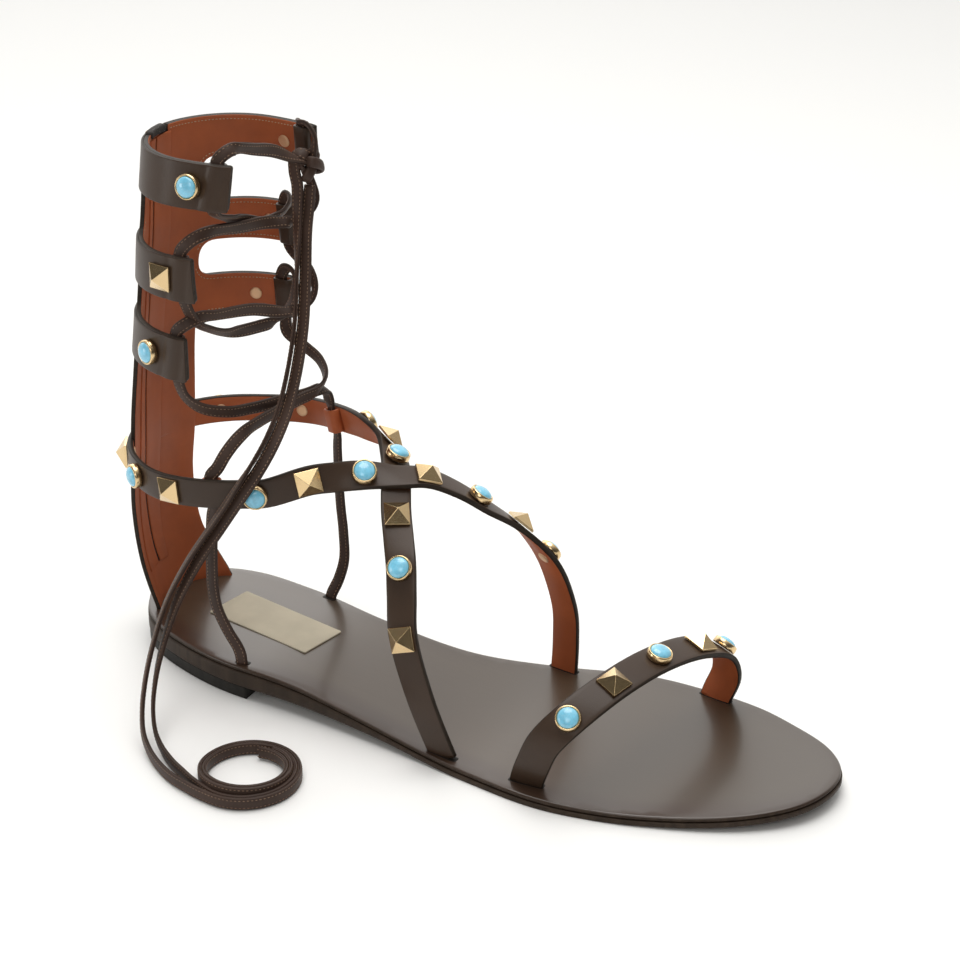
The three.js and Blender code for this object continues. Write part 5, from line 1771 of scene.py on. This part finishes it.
def build_arm_loops():
    meshes = []
    section = loop_section(STRAP_PROUD - STRAP_WALL, ARM_LOOP_DEPTH)
    for arm in ARMS:
        for side in (-1, 1):
            centre = loop_angle(arm, side)
            z = arm_height(arm)

            def place(along, out, up, centre=centre, z=z):
                return shaft_point(centre + arc_angle(along, centre, z), np.full(len(along), z + up), out)

            reach = ARM_WIDTH / 2 - CLEARANCE
            meshes.append(bent_strip(section, reach, LOOP_WALL, place, FINISHES["outer"]))
    dress(new_object("arm_loops", merge("arm_loops", meshes)), "outer", "upper")


# Gap between the lining's edges inside the shaft: height above the seat and length round, in mm
ZIP_LINE = [(11.5, -1.75), (21.5, -2.75), (37.5, -4.75), (58.5, -6), (111.5, -7), (146.5, -7.5), (168.8, -5)]
FLAP_ENDS = (-10.5 * MM, 3.6 * MM)
FLAP_THICKNESS = 0.9 * MM
FLAP_ROUNDING = 0.22 * MM
FLAP_SINK = 0.45 * MM
# The dark strip in the gap, painted shade: half its width, in half gaps, and its depth in the panel
GAP_SHADE_REACH = 2.2
GAP_SHADE_SINK = 0.42 * MM
# Width and height of the tape's folded end, and its middle: length round and height above the rim
TAPE_END_SIZE = (11 * MM, 2.6 * MM)
TAPE_END_PLACE = (-4.6 * MM, -0.5 * MM)


def build_lining_flaps():
    """Thin lining edges that close over the zip inside the shaft, with a dark strip of painted shade in the gap
    between them.
    """
    line = np.array(ZIP_LINE) * MM
    heights = np.arange(line[0, 0], line[-1, 0], 2.5 * MM)
    middle = np.interp(heights, line[:, 0], line[:, 1])
    levels = heights + SEAT_HEIGHT
    half = sizes().zip_gap / 2

    def band(left, right):
        """A loop between two edges that run up the shaft."""
        up = np.column_stack([np.broadcast_to(right, levels.shape), levels])
        down = np.column_stack([np.broadcast_to(left, levels.shape), levels])[::-1]
        return dense_loop(np.vstack([up, down]), 2.5 * MM)

    rings = round_rings(FLAP_THICKNESS, FLAP_ROUNDING, 3)
    finishes = [FINISHES["lining"], FINISHES["edge"]]
    meshes = []
    for left, right in ((FLAP_ENDS[0], middle - half), (middle + half, FLAP_ENDS[1])):
        place = on_shaft(-PANEL_WALL + FLAP_SINK)
        zones = edge_zones(rings, 0, 0, 0)
        meshes.append(plate("flap", band(left, right), place, rings, 2 * MM, finishes, zones))
    dress(new_object("zip_lining_flaps", merge("zip_lining_flaps", meshes)), "outer", "upper")
    # Near-black strip in the gap between the lining's edges: painted shade.
    rings = round_rings(0.5 * MM, 0.05 * MM, 1)
    strip = band(middle - GAP_SHADE_REACH * half, middle + GAP_SHADE_REACH * half)
    mesh = plate("zip_gap_tape", strip, on_shaft(-PANEL_WALL + GAP_SHADE_SINK), rings, 2 * MM, [FINISHES["slit"]])
    dress(new_object("zip_gap_tape", mesh), "zip", "zip_chain")
    build_tape_end()


def build_tape_end():
    """Dark end of the zip's tape, folded over the shaft's rim."""
    top = SEAT_HEIGHT + SHAFT_HEIGHT
    width, height = TAPE_END_SIZE
    loop = dense_loop(rounded_box(width, height, 1 * MM), 0.8 * MM)
    loop = loop + np.array([TAPE_END_PLACE[0], top + TAPE_END_PLACE[1]])
    rings = round_rings(PANEL_WALL + 0.9 * MM, 0.6 * MM)

    def over_rim(s, z, depth):
        return shaft_point(angle_at(s, np.minimum(z, top)), z, 0.3 * MM - depth)

    mesh = plate("zip_tape_end", loop, over_rim, rings, 1.2 * MM, [FINISHES["tape"]])
    dress(new_object("zip_tape_end", mesh), "zip", "zip_chain")


# Straps


def strap_profile(width, thickness):
    """The strap's section with its finishes: crowned leather face, painted edges, lining."""
    half, r, crown = width / 2, sizes().edge_radius, 0.12 * MM
    face = [(x, -crown * (x / half) ** 2) for x in np.linspace(-half + r, half - r, 9)]
    turn = np.linspace(80, 10, 3) * DEGREE
    right = [(half - r + r * math.cos(a), -r - crown + r * math.sin(a)) for a in turn]
    right += [(half, -thickness * 0.5), (half - 0.05 * MM, -thickness + r)]
    low = [(half - r, -thickness), (0, -thickness), (-half + r, -thickness)]
    left = [(-x, y) for x, y in reversed(right)]
    points = face + right + low + left
    zones = [0] * (len(face) - 1) + [0, 1, 1, 1, 1, 1] + [2, 2] + [1, 1, 1, 1, 1, 0]
    return points, zones


def strap_mesh(name, rows, width):
    frames = curve_frames(*rows, pitch=1.1 * MM)
    point = frames["point"]
    keep = point[:, 2] > footbed_top(point[:, 0]) - 1.3 * MM
    points, zones = strap_profile(width, STRAP_WALL)
    finishes = [FINISHES["outer"], FINISHES["edge"], FINISHES["lining"]]
    return sweep(name, pick(frames, keep), points, finishes, zones)


def strap_feet(rows, at_start):
    """The frame where a strap meets the footbed."""
    frames = curve_frames(*rows, steps=STUD_STEPS)
    height = frames["point"][:, 2] - footbed_top(frames["point"][:, 0])
    order = range(len(height)) if at_start else range(len(height) - 1, -1, -1)
    for i in order:
        if height[i] > 0:
            return pick(frames, i)
    return pick(frames, 0)


def slit_mesh(foot, width, thickness):
    """A dark patch on the footbed round the foot of a strap: painted shade for the slit that it goes into."""
    along = np.array([foot["across"][0], foot["across"][1]])
    along = along / np.linalg.norm(along)
    side = np.array([-along[1], along[0]])
    middle = foot["point"] - foot["outward"] * thickness / 2
    loop = rounded_box(width + 1.1 * MM, thickness + 0.9 * MM, 0.8 * MM)
    loop = loop @ np.array([along, side]) + middle[:2]
    if np.linalg.det(np.array([along, side])) < 0:
        loop = loop[::-1]

    def lying(x, y, depth):
        return np.column_stack([x, y, footbed_top(x) + 0.06 * MM - depth])

    rings = [(0.05 * MM, 0), (0, 0.03 * MM), (0, 0.3 * MM)]
    return plate("slit", loop, lying, rings, 2 * MM, [FINISHES["slit"]])


def build_straps():
    plans = [
        ("lateral_strap_leather", LATERAL_ROWS, STRAP_WIDTH, "upper"),
        ("medial_strap_leather", MEDIAL_ROWS, STRAP_WIDTH, "upper"),
        ("toe_strap_leather", TOE_ROWS, TOE_STRAP_WIDTH, "toe_strap"),
    ]
    for name, rows, width, node in plans:
        dress(new_object(name, strap_mesh(name, rows, width)), "outer", node)
    feet = [(LATERAL_ROWS, False, STRAP_WIDTH), (MEDIAL_ROWS, False, STRAP_WIDTH)]
    feet += [(TOE_ROWS, True, TOE_STRAP_WIDTH), (TOE_ROWS, False, TOE_STRAP_WIDTH)]
    slits = [slit_mesh(strap_feet(rows, start), width, STRAP_WALL) for rows, start, width in feet]
    for points, outwards in (lace_rows(LATERAL_FOOT), lace_rows(MEDIAL_FOOT)):
        foot = strap_feet((points, outwards), True)
        slits.append(slit_mesh(foot, sizes().lace_width, sizes().lace_thickness))
    dress(new_object("footbed_slits", merge("footbed_slits", slits)), "footbed")
    build_keepers()


def build_keepers():
    """Cognac lace keepers behind the ankle strap."""
    section = loop_section(-STRAP_WALL)
    meshes = []
    for rows, share in ((LATERAL_ROWS, LATERAL_KEEPER), (MEDIAL_ROWS, MEDIAL_KEEPER)):
        keeper = keeper_frame(rows, share)

        def place(along, out, up, keeper=keeper):
            return (
                keeper["point"] + np.outer(along, keeper["tangent"])
                + np.outer(out, keeper["outward"]) + up * keeper["across"]
            )

        reach = (STRAP_WIDTH - KEEPER_INSET) / 2
        meshes.append(bent_strip(section, reach, LOOP_WALL, place, FINISHES["lining"]))
    dress(new_object("lace_keepers", merge("lace_keepers", meshes)), "outer", "upper")


# Zip


def build_zip():
    low = SEAT_HEIGHT + ZIP_END_HEIGHT + 0.6 * MM
    high = SEAT_HEIGHT + SHAFT_HEIGHT - CLEARANCE
    loop = dense_loop(rounded_box(ZIP_SLOT + 1.2 * MM, high - low, 1.2 * MM), 2.5 * MM)
    loop = loop + np.array([0, (low + high) / 2])
    rings = round_rings(0.5 * MM, 0.12 * MM, 2)
    tape = plate("zip_tape", loop, on_shaft(-0.6 * MM), rings, 2 * MM, [FINISHES["tape"]])
    dress(new_object("zip_tape", tape), "zip", "zip_chain")
    heights = np.arange(low + 1.5 * MM, high - 1 * MM, sizes().tooth_pitch)
    normal = shaft_normal(0.0, heights)
    spots = shaft_point(0.0, heights, -0.45 * MM)
    frames = {
        "point": spots, "outward": normal,
        "tangent": np.repeat(np.array([[0.0, 1.0, 0.0]]), len(heights), axis=0),
    }
    block = make_box_mesh("zip_tooth", (2.6 * MM, 0.85 * MM, 1.0 * MM), FINISHES["slider"])
    tooth = source_shape("zip_tooth", block)
    teeth = scatter("zip_teeth", frames, tooth, FINISHES["slider"], seed=sizes().seed)
    drop(tooth)
    dress(teeth, "zip", "zip_chain")
    build_slider(high)


def make_box_mesh(name, size, finish):
    """A small block with bevelled edges."""
    loop = rounded_box(size[0], size[1], min(size[:2]) * 0.2, 2)
    rings = round_rings(size[2], size[2] * 0.2, 2)

    def flat(x, y, depth):
        return np.column_stack([x, y, np.full(len(x), size[2] / 2 - depth)])

    return plate(name, loop, flat, rings, max(size[:2]), [finish])


def build_slider(high):
    """Slider body at the top of the zip, waisted towards its lower end."""
    base = high - SLIDER_LENGTH - 1 * MM
    loop = rounded_box(SLIDER_WIDTH, SLIDER_LENGTH, 1.6 * MM)
    waist = 1 - 0.2 * smoothstep(-loop[:, 1], -0.1 * SLIDER_LENGTH, 0.5 * SLIDER_LENGTH)
    loop = dense_loop(np.column_stack([loop[:, 0] * waist, loop[:, 1]]), 1 * MM)
    loop = loop + np.array([0, base + SLIDER_LENGTH / 2])
    rings = round_rings(SLIDER_THICKNESS - 0.4 * MM, 0.5 * MM)
    place = on_shaft(STRAP_PROUD + CLEARANCE + SLIDER_THICKNESS)
    mesh = plate("zip_slider_body", loop, place, rings, 1.2 * MM, [FINISHES["slider"]])
    dress(new_object("zip_slider_body", mesh), "slider", "zip_slider")


# Studs


def seated(frames, crossing, index, half):
    """The frame where a stud's flat base stands clear of the straps under it."""
    spot = pick(frames, index)

    def offsets(strap, reach, side):
        near = np.linalg.norm(strap["point"] - spot["point"], axis=1) < reach
        shift = [strap["point"][near] + strap["across"][near] * out - spot["point"] for out in (-side, side)]
        return np.vstack(shift)

    own = offsets(frames, half, half)
    other = offsets(crossing, half + STRAP_WIDTH / 2, STRAP_WIDTH / 2) if crossing else np.zeros((0, 3))
    rise = other @ spot["outward"]
    beside = np.sqrt(np.maximum(0, np.sum(other ** 2, axis=1) - rise ** 2)) < half
    lift = max(0, *(own @ spot["outward"]), *rise[beside])
    return dict(spot, point=spot["point"] + spot["outward"] * (lift + CLEARANCE / 2))


def shaft_stud(angle, z):
    around = shaft_point(angle + DEGREE, z, STRAP_PROUD) - shaft_point(angle - DEGREE, z, STRAP_PROUD)
    high, low = (shaft_point(angle, z + half, STRAP_PROUD) for half in (ARM_WIDTH / 2, -ARM_WIDTH / 2))
    up = high - low
    tangent = unit(around)
    outward = unit(np.cross(up, tangent))
    point = shaft_point(angle, z, STRAP_PROUD) + outward * CLEARANCE / 2
    return {"point": point, "tangent": tangent, "outward": outward}


def stud_spots():
    """Every stud: its node's name, frame and kind."""
    spots = []
    plans = [
        ("lateral_strap", LATERAL_ROWS, LATERAL_STUDS, None),
        ("medial_strap", MEDIAL_ROWS, MEDIAL_STUDS, LATERAL_ROWS),
        ("toe_strap", TOE_ROWS, TOE_STUDS, None),
    ]
    for name, rows, studs, over in plans:
        frames = curve_frames(*rows, steps=STUD_STEPS)
        crossing = curve_frames(*over, steps=STUD_STEPS) if over else None
        for number, (share, pyramid) in enumerate(studs, 1):
            half = PYRAMID_SIZE / 2 if pyramid else SETTING_RADIUS
            frame_here = seated(frames, crossing, round(share * STUD_STEPS), half)
            spots.append((f"{name}_{number}", frame_here, pyramid, STRAP_WALL))
    for name, _, _, stud, pyramid in ARMS:
        arm = next(row for row in ARMS if row[0] == name)
        for side, word in ((-1, "lateral"), (1, "medial")):
            spot = shaft_stud(side * stud * DEGREE, arm_height(arm))
            spots.append((f"{word}_{name}_arm", spot, pyramid, STRAP_WALL + 0.4 * MM))
    return spots


def stacked(frames_list):
    return {key: np.array([f[key] for f in frames_list]) for key in ("point", "tangent", "outward")}


def pyramid_mesh(finish):
    """A four-sided stud with a low wall and slightly broken edges."""
    half, rim, tip = PYRAMID_SIZE / 2, PYRAMID_RIM, 0.12 * MM
    levels = [(0, half), (rim, half), (PYRAMID_HEIGHT, tip)]
    build = bmesh.new()
    rings = []
    for z, size in levels:
        rings.append([build.verts.new((x * size, y * size, z)) for x, y in SQUARE])
    for low, high in zip(rings, rings[1:]):
        for i in range(4):
            build.faces.new((low[i], low[(i + 1) % 4], high[(i + 1) % 4], high[i]))
    build.faces.new(rings[-1])
    build.faces.new(rings[0][::-1])
    sharp = [
        edge for edge in build.edges
        if min(v.co.z for v in edge.verts) > 0 or edge.calc_length() < rim * 1.1
    ]
    bmesh.ops.bevel(build, geom=sharp, offset=0.1 * MM, segments=2, affect="EDGES", profile=0.6)
    bmesh.ops.recalc_face_normals(build, faces=build.faces)
    mesh = bpy.data.meshes.new("pyramid")
    build.to_mesh(mesh)
    build.free()
    mesh.materials.append(finish)
    return mesh


def build_studs():
    spots = stud_spots()
    pyramids = [spot for spot in spots if spot[2]]
    rounds = [spot for spot in spots if not spot[2]]
    shape = source_shape("pyramid", pyramid_mesh(FINISHES["gold"]))
    piece = scatter("pyramid_studs", stacked([s[1] for s in pyramids]), shape, FINISHES["gold"])
    dress(piece, "gold", *[f"{s[0]}_pyramid" for s in pyramids])
    drop(shape)
    r, h = SETTING_RADIUS, SETTING_HEIGHT
    profile = [
        (0, 0), (r - 0.15 * MM, 0), (r, 0.15 * MM), (r - 0.02 * MM, 0.5 * h), (r - 0.12 * MM, 0.82 * h),
        (r - 0.3 * MM, 0.96 * h), (r - 0.52 * MM, h), (r - 0.72 * MM, 0.95 * h), (r - 0.8 * MM, 0.85 * h),
        (r - 0.82 * MM, 0.5 * h), (0, 0.5 * h),
    ]
    shape = source_shape("setting", lathe("setting", profile, 40, FINISHES["gold"]))
    piece = scatter("stone_settings", stacked([s[1] for s in rounds]), shape, FINISHES["gold"])
    dress(piece, "gold", *[f"{s[0]}_setting" for s in rounds])
    drop(shape)
    base = 0.6 * h
    angles = np.linspace(0, math.pi / 2, 10)
    rise = STONE_RISE - 0.85 * h
    dome = [(STONE_RADIUS * math.cos(a), 0.85 * h + rise * math.sin(a)) for a in angles]
    profile = [(0, base), (STONE_RADIUS * 0.97, base), *dome[:-1], (0, STONE_RISE)]
    shape = source_shape("stone", lathe("stone", profile, 36, FINISHES["stone"]))
    piece = scatter("domed_stones", stacked([s[1] for s in rounds]), shape, FINISHES["stone"])
    dress(piece, "stone", *[f"{s[0]}_stone" for s in rounds])
    drop(shape)
    build_rivets(spots)


def build_rivets(spots):
    """Flat rivet heads inside the straps, behind each stud."""
    radius = sizes().rivet_radius
    profile = [
        (0, 0), (radius, 0), (radius, 0.16 * MM), (radius * 0.86, 0.34 * MM), (radius * 0.5, 0.4 * MM),
        (0, 0.36 * MM),
    ]
    frames = []
    for _, spot, _, wall in spots:
        depth = wall + CLEARANCE / 2 + 0.02 * MM
        point = spot["point"] - spot["outward"] * depth
        frames.append(dict(spot, point=point, outward=-spot["outward"]))
    shape = source_shape("rivet", lathe("rivet", profile, 24, FINISHES["rivet"]))
    dress(scatter("rivet_heads", stacked(frames), shape, FINISHES["rivet"]), "gold")
    drop(shape)


# Stitches along the lining's edges

LINING_STITCH_INSET = 1.4 * MM


def build_lining_stitches():
    """Rows of pale stitches round the arms' edges, inside the shaft."""
    loop = inset_loop(rounded_path(panel_corners(), 1.6 * MM), LINING_STITCH_INSET)
    closed = np.vstack([loop, loop[:1]])
    run = runs(closed)
    pitch = sizes().stitch_pitch
    places = np.arange(0, run[-1], pitch)
    s, z = np.interp(places, run, closed[:, 0]), np.interp(places, run, closed[:, 1])
    ahead = np.column_stack([np.interp(places + pitch / 4, run, closed[:, k]) for k in (0, 1)])
    direction = unit(ahead - np.column_stack([s, z]))
    on_arm = np.zeros(len(s), bool)
    for arm in ARMS:
        near = np.abs(z - arm_height(arm)) < ARM_WIDTH / 2 + CORNER_RADIUS * 0.5
        reach = run_at(arm[2] * DEGREE, arm_height(arm)) - TUNNEL_LENGTH - 2 * TUNNEL_WALL
        on_arm |= near & (np.abs(s) < reach)
    upright = (np.abs(direction[:, 1]) > 0.8) & (np.abs(s) < 14 * MM)
    keep = on_arm & ~upright & (np.abs(s) > ZIP_SLOT / 2 + 1 * MM)
    s, z, direction = s[keep], z[keep], direction[keep]
    inner = -PANEL_WALL - 0.02 * MM
    angles = angle_at(s, z)
    ahead_z = z + direction[:, 1] * 0.5 * MM
    ahead = shaft_point(angle_at(s + direction[:, 0] * 0.5 * MM, ahead_z), ahead_z, inner)
    point = shaft_point(angles, z, inner)
    frames = {"point": point, "tangent": unit(ahead - point), "outward": -shaft_normal(angles, z)}
    shape = stitch_shape(FINISHES["pale_thread"])
    size = (sizes().stitch_length, sizes().stitch_width, sizes().stitch_width)
    piece = scatter("lining_stitches", frames, shape, FINISHES["pale_thread"], size, 0.1, sizes().seed)
    drop(shape)
    dress(piece, "outer")


# Operators, panel and registration


class SANDAL_OT_stage(bpy.types.Operator):
    """Adds the camera, the floor and the lights, and makes the finishes."""

    bl_idname = "sandal.stage"
    bl_label = "Stage"
    bl_options = {"REGISTER", "UNDO"}

    def execute(self, context):
        make_finishes(colours())
        add_camera()
        add_stage()
        return {"FINISHED"}


class SANDAL_OT_lace_ends(bpy.types.Operator):
    """Adds the two lace ends that hang from the knot and lie in a coil."""

    bl_idname = "sandal.lace_ends"
    bl_label = "Lace Ends"
    bl_options = {"REGISTER", "UNDO"}

    def execute(self, context):
        build_lace_ends()
        return {"FINISHED"}


class SANDAL_OT_sole(bpy.types.Operator):
    """Adds the footbed, the outsole and the heel block."""

    bl_idname = "sandal.sole"
    bl_label = "Sole"
    bl_options = {"REGISTER", "UNDO"}

    def execute(self, context):
        build_sole()
        return {"FINISHED"}


class SANDAL_OT_label(bpy.types.Operator):
    """Adds the bare label on the footbed."""

    bl_idname = "sandal.label"
    bl_label = "Label"
    bl_options = {"REGISTER", "UNDO"}

    def execute(self, context):
        build_label()
        return {"FINISHED"}


class SANDAL_OT_shaft(bpy.types.Operator):
    """Adds the back panel, the arms and their lace loops."""

    bl_idname = "sandal.shaft"
    bl_label = "Shaft"
    bl_options = {"REGISTER", "UNDO"}

    def execute(self, context):
        build_shaft()
        return {"FINISHED"}


class SANDAL_OT_straps(bpy.types.Operator):
    """Adds the crossed straps, the toe strap, the painted shade of their slits and the lace keepers."""

    bl_idname = "sandal.straps"
    bl_label = "Straps"
    bl_options = {"REGISTER", "UNDO"}

    def execute(self, context):
        build_straps()
        return {"FINISHED"}


class SANDAL_OT_zip(bpy.types.Operator):
    """Adds the zip's tape, teeth and slider."""

    bl_idname = "sandal.zip"
    bl_label = "Zip"
    bl_options = {"REGISTER", "UNDO"}

    def execute(self, context):
        build_zip()
        return {"FINISHED"}


class SANDAL_OT_studs(bpy.types.Operator):
    """Adds the pyramid studs, the stones in their settings and the rivets."""

    bl_idname = "sandal.studs"
    bl_label = "Studs"
    bl_options = {"REGISTER", "UNDO"}

    def execute(self, context):
        build_studs()
        return {"FINISHED"}


class SANDAL_OT_laces(bpy.types.Operator):
    """Adds the laces through their keepers and loops, and the knot."""

    bl_idname = "sandal.laces"
    bl_label = "Laces"
    bl_options = {"REGISTER", "UNDO"}

    def execute(self, context):
        build_laces()
        build_knot()
        return {"FINISHED"}


class SANDAL_OT_stitches(bpy.types.Operator):
    """Adds the stitches along the lining."""

    bl_idname = "sandal.stitches"
    bl_label = "Lining Stitches"
    bl_options = {"REGISTER", "UNDO"}

    def execute(self, context):
        build_lining_stitches()
        return {"FINISHED"}


OPERATORS = [
    SANDAL_OT_stage, SANDAL_OT_lace_ends, SANDAL_OT_sole, SANDAL_OT_label, SANDAL_OT_shaft,
    SANDAL_OT_straps, SANDAL_OT_zip, SANDAL_OT_studs, SANDAL_OT_laces, SANDAL_OT_stitches,
]


class SANDAL_PT_build(bpy.types.Panel):
    """Lists the sandal's pieces, sizes and colours."""

    bl_label = "Gladiator Sandal"
    bl_space_type = "VIEW_3D"
    bl_region_type = "UI"
    bl_category = "Sandal"

    def draw(self, context):
        column = self.layout.column()
        for operator in OPERATORS:
            column.operator(operator.bl_idname)
        for group in (context.scene.sandal_sizes, context.scene.sandal_colours):
            for name in group.__annotations__:
                column.prop(group, name)


CLASSES = [SandalSizes, SandalColours, *OPERATORS, SANDAL_PT_build]


def register():
    for cls in CLASSES:
        bpy.utils.register_class(cls)
    bpy.types.Scene.sandal_sizes = bpy.props.PointerProperty(type=SandalSizes)
    bpy.types.Scene.sandal_colours = bpy.props.PointerProperty(type=SandalColours)


def unregister():
    del bpy.types.Scene.sandal_colours
    del bpy.types.Scene.sandal_sizes
    for cls in reversed(CLASSES):
        bpy.utils.unregister_class(cls)


def write_sizes():
    """Turns the solids' box and the dressed model's box into plain lists."""
    boxes = {"cad": CAD_BOX, "visual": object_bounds()}
    plain = {name: [[float(v) for v in corner] for corner in box] for name, box in boxes.items()}


def main():
    register()
    for operator in OPERATORS:
        group, name = operator.bl_idname.split(".")
        getattr(getattr(bpy.ops, group), name)()
    write_sizes()


if __name__ == "__main__":
    main()
